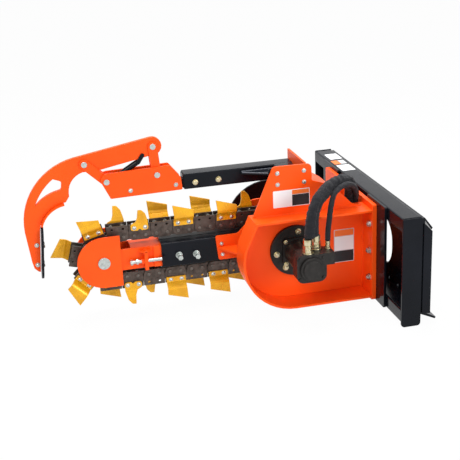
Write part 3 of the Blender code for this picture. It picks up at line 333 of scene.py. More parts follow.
def ball_cap(radius, height):
    """A shallow dome up +Z from the origin."""
    sides = 20

    def build(shape):
        rows = []
        for i in range(4):
            angle = math.pi / 2 * i / 4
            rows.append([
                shape.verts.new((
                    radius * math.cos(angle) * math.cos(2 * math.pi * k / sides),
                    radius * math.cos(angle) * math.sin(2 * math.pi * k / sides),
                    height * math.sin(angle),
                ))
                for k in range(sides)
            ])
        top = shape.verts.new((0, 0, height))
        for a, b in zip(rows, rows[1:]):
            for k in range(sides):
                shape.faces.new((a[k], a[(k + 1) % sides], b[(k + 1) % sides], b[k]))
        for k in range(sides):
            shape.faces.new((rows[-1][k], rows[-1][(k + 1) % sides], top))
        shape.faces.new(list(reversed(rows[0])))

    return evaluated(built(build))


def arc(centre, radius, first, last, steps):
    """Points on a circle from the first angle to the last."""
    turn = (last - first) / steps
    return [
        (centre[0] + radius * math.cos(first + turn * i), centre[1] + radius * math.sin(first + turn * i))
        for i in range(steps + 1)
    ]


def ring(centre, radius, sides):
    return arc(centre, radius, 0, 2 * math.pi, sides)[:-1]


def rounded(corners, steps=6):
    """Outline points from (u, v) or (u, v, radius) corners, each radius as an arc."""
    points = []
    for index, corner in enumerate(corners):
        here = Vector(corner[:2])
        radius = corner[2] if len(corner) > 2 else 0
        if not radius:
            points.append(tuple(here))
            continue
        before = (Vector(corners[index - 1][:2]) - here).normalized()
        after = (Vector(corners[(index + 1) % len(corners)][:2]) - here).normalized()
        half = before.angle(after) / 2
        centre = here + (before + after).normalized() * radius / math.sin(half)
        start = here + before * radius / math.tan(half) - centre
        end = here + after * radius / math.tan(half) - centre
        sweep = start.angle_signed(end)
        first = math.atan2(start.y, start.x)
        points += arc(centre, radius, first, first - sweep, steps)
    return points


TURNS = {"x": (math.pi / 2, 0, math.pi / 2), "y": (math.pi / 2, 0, 0), "z": (0, 0, 0)}


def plate(facing, first, last, outline, *holes, edge=0.001):
    """A plate cut to an outline, with holes and softened edges."""
    curve = bpy.data.curves.new("outline", "CURVE")
    curve.dimensions = "2D"
    curve.fill_mode = "BOTH"
    curve.extrude = abs(last - first) / 2
    for points in (outline, *holes):
        spline = curve.splines.new("POLY")
        spline.points.add(len(points) - 1)
        for point, where in zip(spline.points, points):
            point.co = (*where, 0, 1)
        spline.use_cyclic_u = True
    drawn = bpy.data.objects.new("outline", curve)
    middle = (first + last) / 2
    drawn.location = {"x": (middle, 0, 0), "y": (0, middle, 0), "z": (0, 0, middle)}[facing]
    drawn.rotation_euler = TURNS[facing]
    mesh = evaluated(drawn)
    shape = bmesh.new()
    shape.from_mesh(mesh)
    bmesh.ops.remove_doubles(shape, verts=shape.verts, dist=0.00001)
    bmesh.ops.dissolve_limit(shape, angle_limit=math.radians(0.5), verts=shape.verts, edges=shape.edges)
    bmesh.ops.recalc_face_normals(shape, faces=shape.faces)
    shape.to_mesh(mesh)
    shape.free()
    if not edge:
        return mesh
    return evaluated(soften(bpy.data.objects.new("shape", mesh), edge, 40))


def tube(points, radius, sides, shape_at):
    """A closed tube along points. shape_at(share, direction, along) scales the radius."""
    points = [Vector(p) for p in points]
    up = None
    rings, runs = [], [0.0]
    shape = bmesh.new()
    for i, point in enumerate(points):
        along = (points[min(i + 1, len(points) - 1)] - points[max(i - 1, 0)]).normalized()
        if up is None:
            up = along.orthogonal().normalized()
        up = (up - along * up.dot(along)).normalized()
        across = along.cross(up)
        if i:
            runs.append(runs[-1] + (point - points[i - 1]).length)
        row = []
        for k in range(sides):
            angle = 2 * math.pi * k / sides
            direction = up * math.cos(angle) + across * math.sin(angle)
            scale = shape_at(i / (len(points) - 1), direction, along)
            row.append(shape.verts.new(point + direction * radius * scale))
        rings.append(row)
    layer = shape.loops.layers.uv.new("UVMap")
    for i, (a, b) in enumerate(zip(rings, rings[1:])):
        for k in range(sides):
            j = (k + 1) % sides
            face = shape.faces.new((a[k], a[j], b[j], b[k]))
            around = 2 * math.pi * radius / sides
            corners = ((runs[i], k), (runs[i], k + 1), (runs[i + 1], k + 1), (runs[i + 1], k))
            for loop, (u, v) in zip(face.loops, corners):
                loop[layer].uv = (u, v * around)
    shape.faces.new(list(reversed(rings[0])))
    shape.faces.new(rings[-1])
    bmesh.ops.recalc_face_normals(shape, faces=shape.faces)
    mesh = bpy.data.meshes.new("shape")
    shape.to_mesh(mesh)
    shape.free()
    return mesh


def smooth_route(points, steps):
    """Points on a Catmull-Rom curve through the given ones."""
    ends = [2 * Vector(points[0]) - Vector(points[1]), 2 * Vector(points[-1]) - Vector(points[-2])]
    knots = [ends[0], *map(Vector, points), ends[1]]
    route = []
    for a, b, c, d in zip(knots, knots[1:], knots[2:], knots[3:]):
        for i in range(steps):
            t = i / steps
            route.append(
                0.5 * (2 * b + (c - a) * t + (2 * a - 5 * b + 4 * c - d) * t**2
                       + (3 * b - a - 3 * c + d) * t**3)
            )
    return [*route, knots[-2]]


def placed(mesh, where, facing="z", turn=0.0, flip=False):
    """A copy of a mesh made up +Z, turned to face an axis at a place."""
    spin = Matrix.Rotation(turn, 4, "Z")
    aim = AIM[facing] @ (Matrix.Rotation(math.pi, 4, "X") if flip else Matrix.Identity(4))
    copy = mesh.copy()
    copy.transform(Matrix.Translation(where) @ aim @ spin)
    return copy


# CAD nodes that stay


def dress(name, material):
    """Give a CAD node its material, softened edges and smooth curved faces."""
    obj = frame["nodes"][name]
    obj.data.materials.clear()
    obj.data.materials.append(material)
    obj.data.polygons.foreach_set("use_smooth", [True] * len(obj.data.polygons))
    if "custom_normal" in obj.data.attributes:
        obj.data.attributes.remove(obj.data.attributes["custom_normal"])
    weld = obj.modifiers.new("Weld", "WELD")
    weld.merge_threshold = 0.00002
    dissolve = obj.modifiers.new("Dissolve", "DECIMATE")
    dissolve.decimate_type = "DISSOLVE"
    dissolve.angle_limit = math.radians(0.6)
    soften(obj, 0.0012, 34)
    weigh = obj.modifiers.new("Normals", "WEIGHTED_NORMAL")
    weigh.keep_sharp = False


DRESSED = {
    ORANGE: [
        "boom_clamp_far", "boom_clamp_near", "crumber_arm", "crumber_bracket_far", "crumber_bracket_near",
        "crumber_front_link", "crumber_rear_link", "crumber_rib", "head_back_plate", "head_cross_plate",
        "head_fin", "head_motor_plate", "head_rim", "head_top_cover", "nose_plate_far", "nose_plate_near",
        "nose_yoke",
    ],
    BLACK: [
        "boom_tube", "crumber_blade", "crumber_bridge", "crumber_slide_bar", "crumber_tube", "head_post_far",
        "head_post_near", "hose_manifold", "mount_bottom_tube", "mount_end_plate_far",
        "mount_end_plate_near", "mount_top_tube", "quick_attach_plate", "shaft_bearing_far",
        "shaft_bearing_near", "spoil_auger", "strut_rod", "strut_tube",
    ],
    CASTING: ["motor_adapter_ring", "motor_body", "motor_end_cover"],
    CHAIN: ["drive_sprocket", "idler_wheel"],
    RAIL: ["chain_rail_bottom", "chain_rail_top", "drive_shaft"],
    ZINC: ["arm_front_pin", "arm_rear_pin", "front_link_pin", "nose_axle", "rear_link_pin", "strut_pin",
           "tension_screw"],
}

for finish_material, names in DRESSED.items():
    for node_name in names:
        dress(node_name, finish_material)


# Bolts


def hex_bolt(size, washer=True, stud=0.0):
    """A hexagon head on a washer, up +Z. Size is the thread's diameter."""
    parts = []
    base = 0.0
    if washer:
        parts.append(rod(size * 0.18, size * 1.05, 28, edge=0.0003))
        base = size * 0.18
    head = rod(size * 0.65, size * 0.88, 6, edge=size * 0.07)
    head.transform(Matrix.Translation((0, 0, base)))
    crown = rod(size * 0.12, size * 0.72, 24, size * 0.55, edge=0.0002)
    crown.transform(Matrix.Translation((0, 0, base + size * 0.62)))
    parts += [head, crown]
    if stud:
        end = rod(stud, size * 0.5, 20, edge=0.0006)
        end.transform(Matrix.Translation((0, 0, base + size * 0.6)))
        parts.append(end)
    return joined(parts)


def bolts(name, body, size, places, facing, flip=False, material=ZINC, washer=True, stud=0.0):
    """One piece of bolts, each turned a little further than the one before."""
    unit = hex_bolt(size, washer, stud)
    copies = [placed(unit, where, facing, 0.4 * i, flip) for i, where in enumerate(places)]
    piece(joined(copies), name, material, body)


def bolts_each_side(name, body, size, near_y, places):
    """The same bolts on the near face and on the far one, with their heads outwards."""
    bolts(f"{name}_near", body, size, [(x, near_y, z) for x, z in places], "y", True)
    bolts(f"{name}_far", body, size, [(x, -near_y, z) for x, z in places], "y")


FIN_BOLTS = ((-0.550, 0.403), (-0.427, 0.403), (-0.550, 0.351), (-0.427, 0.351))
bolts("fin_bolts", "frame", 0.0095, [(x, FIN_Y, z) for x, z in FIN_BOLTS], "y", True)

HEAD_BOLT_Y = 0.290
HEAD_BOLT_Z = (0.135, 0.004, -0.127)
for end, y in (("near", -HEAD_BOLT_Y), ("far", HEAD_BOLT_Y)):
    places = [(HEAD_FACE, y, z) for z in HEAD_BOLT_Z]
    bolts(f"head_bolts_{end}", "frame", 0.016, places, "x", True, stud=0.004)

# Seven holes round the motor's ring. A plug fills the last, where the photograph shows no bolt.
RING_BOLT_CIRCLE = 0.092
RING_BOLTS = []
for i in range(7):
    turn = math.radians(185 + 360 / 7 * i)
    across, up = RING_BOLT_CIRCLE * math.cos(turn), RING_BOLT_CIRCLE * math.sin(turn)
    RING_BOLTS.append((DRIVE_X + across, RING_Y, AXIS_Z + up))
plug = placed(rod(0.003, 0.0085, 24), RING_BOLTS.pop(), "y", flip=True)
piece(plug, "motor_ring_plug", CASTING)
bolts("motor_ring_bolts", "frame", 0.0135, RING_BOLTS, "y", True, YELLOW_ZINC)

# Washer, nut, thread and end nut: where each starts, its length, radius and sides.
LONG_BOLT = (
    (0.0, 0.003, 0.0160, 28), (0.003, 0.012, 0.0145, 6), (0.015, 0.018, 0.0085, 24),
    (0.033, 0.010, 0.0125, 6),
)
BOOM_NEAR = -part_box("boom_tube")[1].y
BOOM_BOLTS = [(-0.984, BOOM_NEAR, 0.016), (-0.903, BOOM_NEAR, 0.012)]
long_bolt = joined([
    placed(rod(length, radius, sides), (0, 0, start)) for start, length, radius, sides in LONG_BOLT
])
long_bolts = [placed(long_bolt, where, "y", 0.3, True) for where in BOOM_BOLTS]
piece(joined(long_bolts), "boom_side_bolts", ZINC)

CLAMP_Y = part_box("boom_clamp_near")[0].y
bolts_each_side("clamp_bolts", "frame", 0.0085, CLAMP_Y, ((-0.783, 0.0485), (-0.781, -0.004)))
TUBE_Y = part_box("crumber_tube")[0].y
TUBE_BOLTS = [(-0.881, TUBE_Y, 0.344), (-0.773, TUBE_Y, 0.346)]
bolts("crumber_tube_bolts", "frame", 0.0125, TUBE_BOLTS, "y", True, YELLOW_ZINC)
BRACKET_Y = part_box("crumber_bracket_near")[0].y
BRACKET_BOLTS = ((-1.177, 0.335), (-0.969, 0.339))
bolts_each_side("bracket_bolts", "crumber_slide", 0.0095, BRACKET_Y, BRACKET_BOLTS)
ARM_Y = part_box("crumber_arm")[0].y
bolts_each_side("arm_bolts", "arm", 0.0098, ARM_Y, ((-1.616, 0.124), (-1.622, 0.030)))

BLADE_ROWS = ((-1.5885, 0.120), (-1.5980, 0.030))
BLADE_BOLTS = [(x, y, z) for x, z in BLADE_ROWS for y in (-0.022, 0.022)]
bolts("blade_bolts", "arm", 0.0090, BLADE_BOLTS, "x", material=CHAIN_PIN)

FLANGE_DEPTH = 0.018
FLANGE_FACE = RING_Y - FLANGE_DEPTH
FLANGE_REACH = 0.053
FLANGE_SIDES = (-FLANGE_REACH, FLANGE_REACH)
FLANGE_BOLTS = [(DRIVE_X + x, FLANGE_FACE, AXIS_Z + z) for x in FLANGE_SIDES for z in FLANGE_SIDES]
bolts("motor_flange_bolts", "frame", 0.010, FLANGE_BOLTS, "y", True, YELLOW_ZINC)


# Gussets and weld beads


def gusset(name, first, last, outline, body="frame"):
    """A flat corner brace between two heights."""
    piece(plate("z", first, last, rounded(outline, 4), edge=0.0015), name, ORANGE, body)


EAR_GUSSET = [(-0.802, CLAMP_Y, 0.002), (-0.711, CLAMP_Y, 0.002), (-0.735, -0.192, 0.004)]
gusset("ear_gusset_near", 0.025, 0.035, EAR_GUSSET)
YOKE_NEAR = -0.0665
LUG_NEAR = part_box("nose_yoke")[0].y
YOKE_GUSSET = [
    (-1.172, YOKE_NEAR, 0.002), (-1.108, YOKE_NEAR, 0.002), (-1.131, LUG_NEAR, 0.004),
    (-1.146, LUG_NEAR, 0.004),
]
gusset("yoke_gusset", 0.052, 0.060, YOKE_GUSSET, "tension")


def bead(name, start, end, radius, material):
    """A weld: a run of small overlapping ripples, half sunk in the joint."""
    start, end = Vector(start), Vector(end)
    length = (end - start).length
    steps = int(length / 0.0016)
    points = [start.lerp(end, i / steps) for i in range(steps + 1)]

    def ripple(share, direction, along):
        return 1 + 0.16 * math.sin(share * length * 2 * math.pi / 0.0065)

    piece(tube(points, radius, 10, ripple), name, material, sharp=80)


RIM_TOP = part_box("head_rim")[1].z
bead("weld_fin_foot", (-0.655, FIN_Y, RIM_TOP), (-0.160, FIN_Y, RIM_TOP), 0.0035, ORANGE)
bead("weld_pan_foot", (HEAD_FACE, PAN_Y, -0.190), (HEAD_FACE, PAN_Y, 0.185), 0.0040, ORANGE)
for end, y in (("near", CLAMP_Y), ("far", -CLAMP_Y)):
    bead(f"weld_clamp_{end}", (HEAD_FACE, y, -0.175), (HEAD_FACE, y, 0.180), 0.0035, ORANGE)
BOOM_WELD_Z = 0.0800
for end, y in (("near", 0.88 * BOOM_NEAR), ("far", -0.88 * BOOM_NEAR)):
    bead(f"weld_boom_{end}", (-1.055, y, BOOM_WELD_Z), (-0.815, y, BOOM_WELD_Z), 0.0020, BLACK)
BRIDGE_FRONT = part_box("crumber_bridge")[0].x
TUBE_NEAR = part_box("crumber_tube")[0].y
WEB_TOP = 0.369
WEB_BACK = -0.515
WEB_TUBE = ((BRIDGE_FRONT + 0.004, TUBE_NEAR, WEB_TOP), (WEB_BACK, TUBE_NEAR, WEB_TOP))
WEB_EDGE = ((BRIDGE_FRONT + 0.006, TUBE_NEAR - 0.015, WEB_TOP), (WEB_BACK, TUBE_NEAR - 0.095, WEB_TOP))
# The web's welds use the lighter copy of the black enamel, a painted highlight along its top edge.
bead("weld_web_tube", *WEB_TUBE, 0.0040, BLACK_PAINTED_HIGHLIGHT)
bead("weld_web_edge", *WEB_EDGE, 0.0030, BLACK_PAINTED_HIGHLIGHT)
MOUNT_WELD_Y = 0.5797
for end, y in (("near", -MOUNT_WELD_Y), ("far", MOUNT_WELD_Y)):
    for row, z in (("top", 0.247), ("bottom", -0.173)):
        bead(f"weld_mount_{row}_{end}", (-0.100, y, z), (-0.016, y, z), 0.0030, BLACK)


# Digging chain


def pin_place(index):
    """A chain pin's centre in the X-Z plane. Pin 0 is above the idler, and they count towards the drive."""
    index %= LOOP
    step = math.pi / HALF_TURN
    if index <= STRAIGHT_PITCHES:
        return Vector((NOSE_X + index * PITCH, AXIS_Z + PITCH_RADIUS))
    index -= STRAIGHT_PITCHES
    if index <= HALF_TURN:
        angle = math.pi / 2 - index * step
        return Vector((DRIVE_X, AXIS_Z)) + PITCH_RADIUS * Vector((math.cos(angle), math.sin(angle)))
    index -= HALF_TURN
    if index <= STRAIGHT_PITCHES:
        return Vector((DRIVE_X - index * PITCH, AXIS_Z - PITCH_RADIUS))
    angle = -math.pi / 2 - (index - STRAIGHT_PITCHES) * step
    return Vector((NOSE_X, AXIS_Z)) + PITCH_RADIUS * Vector((math.cos(angle), math.sin(angle)))


def link_frame(index):
    """Local X along the link, local Z outwards, the origin midway between its two pins."""
    first, last = pin_place(index), pin_place(index + 1)
    along = (last - first).normalized()
    middle = (first + last) / 2
    turn = -math.atan2(along.y, along.x)
    return Matrix.Translation((middle.x, 0, middle.y)) @ Matrix.Rotation(turn, 4, "Y")


# A tooth on every fourth link of each side. Each third one is a fang and the others are cups.
TEETH = {}
for first, fangs, side in ((25, 25, -1), (27, 35, 1)):
    for index in range(first, first + 41, 4):
        kind = "fang" if (index - fangs) % 12 == 0 else "cup"
        TEETH[index % LOOP] = (kind, side)

# A tooth bolt's place on its link: along it from the middle, and outwards.
BOLT_ALONG, BOLT_OUT = 0.0254, 0.040
TOOTH_THICK = 0.007
# How far a roller and an inner plate stay from the plates beside them.
GAP = 0.0003


def side_plate(side):
    """An outer side plate: straight outer edge with two bolt holes, and round shoulders inwards."""
    half = PITCH - 0.0010
    outline = rounded([
        (-half, SIDE_HIGH, 0.002), (-half, 0.004, 0.012), (-half + 0.010, SIDE_LOW, 0.012),
        (half - 0.010, SIDE_LOW, 0.012), (half, 0.004, 0.012), (half, SIDE_HIGH, 0.002),
    ], 5)
    holes = [ring((s * BOLT_ALONG, BOLT_OUT), 0.0058, 16) for s in (-1, 1)]
    return plate("y", side * (LINK_INNER + LINK_PLATE), side * LINK_OUTER, outline, *holes, edge=0.0012)


def inner_plate(side):
    """A round-ended plate between two pins, inside the side plates."""
    half, radius = PITCH / 2, 0.017
    outline = arc((half, 0), radius, -math.pi / 2, math.pi / 2, 10)
    outline += arc((-half, 0), radius, math.pi / 2, 3 * math.pi / 2, 10)
    return plate("y", side * LINK_INNER, side * (LINK_INNER + LINK_PLATE - GAP), outline, edge=0.001)


def chain_places(odd):
    """The frames of every second link."""
    return [link_frame(i) for i in range(LOOP) if i % 2 == odd]


CHAIN_NODES = ("chain_upper_run", "chain_drive_wrap", "chain_lower_run", "chain_nose_wrap")
outer = piece(joined([side_plate(-1), side_plate(1)], chain_places(1)), "chain_side_plates", CHAIN)
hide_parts(*CHAIN_NODES)
piece(joined([inner_plate(-1), inner_plate(1)], chain_places(0)), "chain_inner_plates", CHAIN)

roller = placed(rod(2 * LINK_INNER - 2 * GAP, ROLLER, 28), (0, -LINK_INNER + GAP, 0), "y")
PIN_SHORT = 0.0002
shank = placed(rod(2 * LINK_OUTER - 2 * PIN_SHORT, 0.0065, 20), (0, -LINK_OUTER + PIN_SHORT, 0), "y")
pin_head = rod(0.0028, 0.0092, 22, 0.0074, 0.0008)
PIN_PLACES = [Matrix.Translation((pin_place(i).x, 0, pin_place(i).y)) for i in range(LOOP)]
piece(joined([roller], PIN_PLACES), "chain_rollers", CHAIN_PIN)
heads = [placed(pin_head, (0, LINK_OUTER, 0), "y"), placed(pin_head, (0, -LINK_OUTER, 0), "y", flip=True)]
piece(joined([shank, *heads], PIN_PLACES), "chain_pins", CHAIN_PIN)


def bend(before, corner, after, size):
    """Points on a round bend at a corner."""
    steps = 4
    start = corner + (before - corner).normalized() * size
    end = corner + (after - corner).normalized() * size
    shares = [i / steps for i in range(steps + 1)]
    return [start * (1 - t) ** 2 + corner * 2 * t * (1 - t) + end * t**2 for t in shares]


def cup_tooth(side):
    """A bolted plate that flares out over the chain, folds up and stands highest at its leading corner."""
    upper = 0.133
    rear, width, taper, fall = -0.045, 0.091, 0.005, 0.029
    foot, knee = Vector((LINK_OUTER, 0.0268)), Vector((LINK_OUTER, 0.0510))
    fold, tip = Vector((LINK_OUTER + 0.030, 0.0765)), Vector((LINK_OUTER + 0.0235, upper))
    path = [foot, foot.lerp(knee, 0.4), *bend(foot, knee, fold, 0.009), *bend(knee, fold, tip, 0.011)]
    path += [fold.lerp(tip, 0.5), tip]
    columns = 7

    def build(shape):
        sheets = []
        for offset in (0.0, TOOTH_THICK):
            rows = []
            for j, point in enumerate(path):
                ahead = (path[min(j + 1, len(path) - 1)] - path[max(j - 1, 0)]).normalized()
                outwards = Vector((ahead.y, -ahead.x))
                at = point + outwards * offset
                share = max(0.0, (point.y - fold.y) / (upper - fold.y))
                row = []
                for k in range(columns):
                    across = k / (columns - 1)
                    x = rear + width * across - taper * share * (1 - across)
                    rise = -fall * share * across
                    row.append(shape.verts.new((x, side * (at.x - 0.1 * rise), at.y + rise)))
                rows.append(row)
            sheets.append(rows)
        inner, outside = sheets
        last, end = len(path) - 1, columns - 1
        for j in range(last):
            for k in range(end):
                shape.faces.new((inner[j][k], inner[j][k + 1], inner[j + 1][k + 1], inner[j + 1][k]))
                shape.faces.new((outside[j][k], outside[j + 1][k], outside[j + 1][k + 1], outside[j][k + 1]))
        for j in range(last):
            for k in (0, end):
                shape.faces.new((inner[j][k], inner[j + 1][k], outside[j + 1][k], outside[j][k]))
        for k in range(end):
            for j in (0, last):
                shape.faces.new((inner[j][k], inner[j][k + 1], outside[j][k + 1], outside[j][k]))

    return evaluated(soften(built(build), 0.0010, 50))


def fang_tooth(side):
    """A flat tooth with two bolt lobes and one pointed fin that leans out."""
    outline = rounded([
        (-0.041, 0.0265, 0.012), (-0.008, 0.0265, 0.008), (0.0, 0.038, 0.006), (0.008, 0.0265, 0.008),
        (0.041, 0.0265, 0.012), (0.039, 0.070, 0.020), (0.029, 0.108, 0.020), (0.012, 0.1275, 0.006),
        (-0.006, 0.1295, 0.003), (-0.010, 0.088, 0.015), (-0.018, 0.067, 0.010), (-0.041, 0.056, 0.010),
    ], 5)
    mesh = plate("y", side * LINK_OUTER, side * (LINK_OUTER + TOOTH_THICK), outline, edge=0.0012)
    lean_from, lean_over, lean = 0.060, 0.010, 0.28
    shape = bmesh.new()
    shape.from_mesh(mesh)
    for height in (lean_from, lean_from + 0.004, lean_from + lean_over):
        everything = shape.verts[:] + shape.edges[:] + shape.faces[:]
        bmesh.ops.bisect_plane(shape, geom=everything, plane_co=(0, 0, height), plane_no=(0, 0, 1))
    for vert in shape.verts:
        past = max(vert.co.z - lean_from, 0.0)
        vert.co.y += side * lean * past * min(past / lean_over, 1.0)
    shape.to_mesh(mesh)
    shape.free()
    return mesh


SHAPERS = {"cup": cup_tooth, "fang": fang_tooth}
tooth_shapes = {(kind, side): shaper(side) for kind, shaper in SHAPERS.items() for side in (-1, 1)}
bolt_head = joined([rod(0.0012, 0.0098, 24, edge=0.0003), ball_cap(0.0082, 0.0042)])
bolt_nut = rod(0.011, 0.0095, 6, edge=0.0008)
fasteners = []
for index, (kind, side) in sorted(TEETH.items()):
    end = "near" if side < 0 else "far"
    tooth = joined([tooth_shapes[kind, side]], [link_frame(index)])
    piece(tooth, f"tooth_{kind}_{end}_{index:02d}", GOLD)
    for s in (-1, 1):
        front = (s * BOLT_ALONG, side * (LINK_OUTER + TOOTH_THICK), BOLT_OUT)
        back = (s * BOLT_ALONG, side * (LINK_INNER + LINK_PLATE), BOLT_OUT)
        fasteners.append(joined([placed(bolt_head, front, "y", flip=side < 0)], [link_frame(index)]))
        fasteners.append(joined([placed(bolt_nut, back, "y", flip=side > 0)], [link_frame(index)]))
piece(joined(fasteners), "tooth_bolts", ZINC)


# Motor fittings and hoses

# From the port up: each part's start and length as shares of the height, its radius as a share of the
# fitting's, its sides and its edge.
FITTING = (
    (0.00, 0.08, 1.12, 28, 0.0010), (0.08, 0.20, 1.06, 6, 0.0012), (0.28, 0.05, 0.80, 24, 0.0004),
    (0.33, 0.24, 1.0, 6, 0.0012), (0.57, 0.04, 0.76, 24, 0.0004), (0.61, 0.39, 0.92, 28, 0.0010),
)


def fitting(name, node, radius, tall):
    """A swivel nut, a hexagon body and a crimped collar up from the port."""
    low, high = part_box(node)
    x, y = (low.x + high.x) / 2, (low.y + high.y) / 2
    parts = []
    for start, length, size, sides, edge in FITTING:
        part = rod(length * tall, size * radius, sides, edge=edge)
        parts.append(placed(part, (x, y, low.z + start * tall), "z", 0.3 if sides == 6 else 0))
    made = piece(joined(parts), name, YELLOW_ZINC)
    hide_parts(node)


fitting("pressure_fitting_body", "pressure_port_fitting", 0.0220, 0.065)
fitting("return_fitting_body", "return_port_fitting", 0.0215, 0.065)
fitting("drain_fitting_body", "drain_fitting", 0.0118, 0.035)

PORT_PLACES = [(DRIVE_X - 0.010, PORT_Y - 0.020), (DRIVE_X + 0.040, PORT_Y + 0.020)]
pads = [placed(rod(0.012, 0.0285, 32, 0.0265), (x, y, PORT_TOP - 0.0118)) for x, y in PORT_PLACES]
piece(joined(pads), "motor_port_pads", CASTING)
END_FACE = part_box("motor_body")[0].y
END_BOLTS = [(DRIVE_X + x, END_FACE, AXIS_Z + z) for x in FLANGE_SIDES for z in (-0.045, 0.048)]
bolts("motor_end_bolts", "frame", 0.0085, END_BOLTS, "y", True, CASTING, washer=False)

SCREW_LOW, SCREW_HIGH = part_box("tension_screw")
SCREW_LINE = ((SCREW_LOW + SCREW_HIGH) / 2).yz
LOCK_NUT_X = -1.184
screw_head = placed(rod(0.011, 0.0140, 6), (SCREW_LOW.x + 0.0005, *SCREW_LINE), "x", 0.2)
lock_nut = placed(rod(0.010, 0.0140, 6), (LOCK_NUT_X, *SCREW_LINE), "x", 0.7)
piece(joined([screw_head, lock_nut]), "tension_screw_nuts", ZINC)

# The sleeves' centre lines from above the ports, over the head and down to the manifold.
HOSE_ROUTE = (
    (-0.446, -0.402, 0.216), (-0.436, -0.393, 0.255), (-0.414, -0.375, 0.297), (-0.370, -0.339, 0.323),
    (-0.323, -0.300, 0.338), (-0.264, -0.257, 0.339), (-0.216, -0.218, 0.322), (-0.187, -0.182, 0.283),
    (-0.181, -0.160, 0.237),
)
DRAIN_ROUTE = (
    (-0.371, -0.393, 0.160), (-0.360, -0.383, 0.220), (-0.343, -0.362, 0.277), (-0.316, -0.334, 0.316),
    (-0.256, -0.286, 0.331), (-0.202, -0.243, 0.312), (-0.171, -0.208, 0.268), (-0.161, -0.180, 0.228),
)


def across_pair(along):
    """The way from one hose of the pair to the other: square to the hose, in the plane of the bend."""
    sideways = Vector((0.78, 0.62, 0)).cross(Vector((0, 0, 1))).normalized()
    out = along.cross(sideways)
    return out.normalized() if out.length > 0.01 else Vector((0, 0, 1))


def wrinkled(low, high, mouth, folds, seed):
    """How far the sleeve stands from its line: oval round the hoses, wider at its mouth, folded across."""
    mouth_share = 0.35

    def scale(share, direction, along):
        upright = direction.dot(across_pair(along))
        wide = high + (mouth - high) * max(0.0, 1 - share / mouth_share)
        size = low + (wide - low) * abs(upright) ** 1.4
        place = Vector((share * folds + seed, direction.x * 1.1, direction.z * 1.1))
        crumple = 0.06 + 0.10 * share
        fold = 1 - 2.4 * abs(noise.noise(place))
        fine = noise.noise(Vector((share * 3 * folds + seed, direction.x * 2.5, direction.z * 2.5)))
        return size * (1 - 0.4 * crumple + crumple * fold + 0.6 * crumple * fine)

    return scale


def sleeve(name, port, heights, route, end, sides, wrinkles):
    """A woven sleeve from over a port, along a route, down to the manifold."""
    line = smooth_route([*((*port, PORT_TOP + height) for height in heights), *route, end], 12)
    return piece(tube(line, 1.0, sides, wrinkles), name, SLEEVE, sharp=60)


pair_wrinkles = wrinkled(0.0200, 0.0320, 0.0390, 30, 3.0)
bundle = sleeve(
    "hose_bundle_sleeve", (DRIVE_X + 0.015, PORT_Y), (0.068, 0.085), HOSE_ROUTE,
    (-0.181, -0.155, 0.2065), 36, pair_wrinkles,
)
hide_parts("pressure_hose", "return_hose")
drain_wrinkles = wrinkled(0.0115, 0.0125, 0.0125, 26, 9.0)
drain = sleeve(
    "drain_hose_sleeve", (DRIVE_X + 0.092, -0.395), (0.037,), DRAIN_ROUTE,
    (-0.160, -0.1735, 0.2065), 24, drain_wrinkles,
)
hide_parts("drain_hose")


# Labels: blank plates with plain blocks, no words or signs


def label(name, facing, at, u, v, material, lift, corner):
    """A thin blank plate on a face, from the first u and v to the last."""
    sign = -1 if facing == "y" else 1
    corners = [(u[0], v[0], corner), (u[1], v[0], corner), (u[1], v[1], corner), (u[0], v[1], corner)]
    piece(plate(facing, at, at + sign * lift, rounded(corners, 3), edge=0), name, material)


TOP_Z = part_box("mount_top_tube")[1].z
# How far a plate stands from its face, and the radius of its corners.
BACKING = (0.0006, 0.003)
BLOCK = (0.0009, 0.001)
for label_name, facing, at, u, v, material, (lift, corner) in (
    ("fin_label_back", "y", FIN_Y, (-0.572, -0.402), (0.243, 0.322), LABEL_WHITE, BACKING),
    ("fin_label_head", "y", FIN_Y, (-0.484, -0.405), (0.299, 0.319), LABEL_ORANGE, BLOCK),
    ("fin_label_block", "y", FIN_Y, (-0.484, -0.405), (0.246, 0.297), LABEL_DARK, BLOCK),
    ("pan_label_back", "y", PAN_Y, (-0.276, -0.178), (-0.074, 0.089), LABEL_PALE, BACKING),
    ("pan_label_head", "y", PAN_Y, (-0.273, -0.181), (0.056, 0.086), LABEL_ORANGE, BLOCK),
    ("pan_label_block", "y", PAN_Y, (-0.273, -0.181), (-0.071, -0.017), LABEL_DARK, BLOCK),
    ("pan_label_panel", "y", PAN_Y, (-0.273, -0.181), (-0.014, 0.053), LABEL_WHITE, BLOCK),
    ("tube_label_near", "z", TOP_Z, (-0.093, -0.026), (0.180, 0.282), LABEL_WHITE, BACKING),
    ("tube_label_stripe", "z", TOP_Z, (-0.093, -0.060), (0.300, 0.366), LABEL_ORANGE, BACKING),
    ("tube_label_block", "z", TOP_Z, (-0.057, -0.026), (0.300, 0.366), LABEL_PALE, BACKING),
    ("tube_label_far", "z", TOP_Z, (-0.084, -0.020), (0.392, 0.492), LABEL_WHITE, BACKING),
):
    label(label_name, facing, at, u, v, material, lift, corner)


# Stage, light and camera


def seen_directly(tree):
    """1 for the camera's rays and for reflections in the object, 0 for the rest of the light."""
    path = tree.nodes.new("ShaderNodeLightPath")
    seen = tree.nodes.new("ShaderNodeMath")
    seen.operation = "MAXIMUM"
    tree.links.new(path.outputs["Is Camera Ray"], seen.inputs[0])
    tree.links.new(path.outputs["Is Glossy Ray"], seen.inputs[1])
    return seen.outputs["Value"]


def mixed(tree, share, plain, shown, output_kind):
    """The plain shader, and the shown one by its share, to the output."""
    mix = tree.nodes.new("ShaderNodeMixShader")
    tree.links.new(share, mix.inputs["Fac"])
    tree.links.new(plain, mix.inputs[1])
    tree.links.new(shown, mix.inputs[2])
    output = tree.nodes.new(output_kind)
    tree.links.new(mix.outputs["Shader"], output.inputs["Surface"])


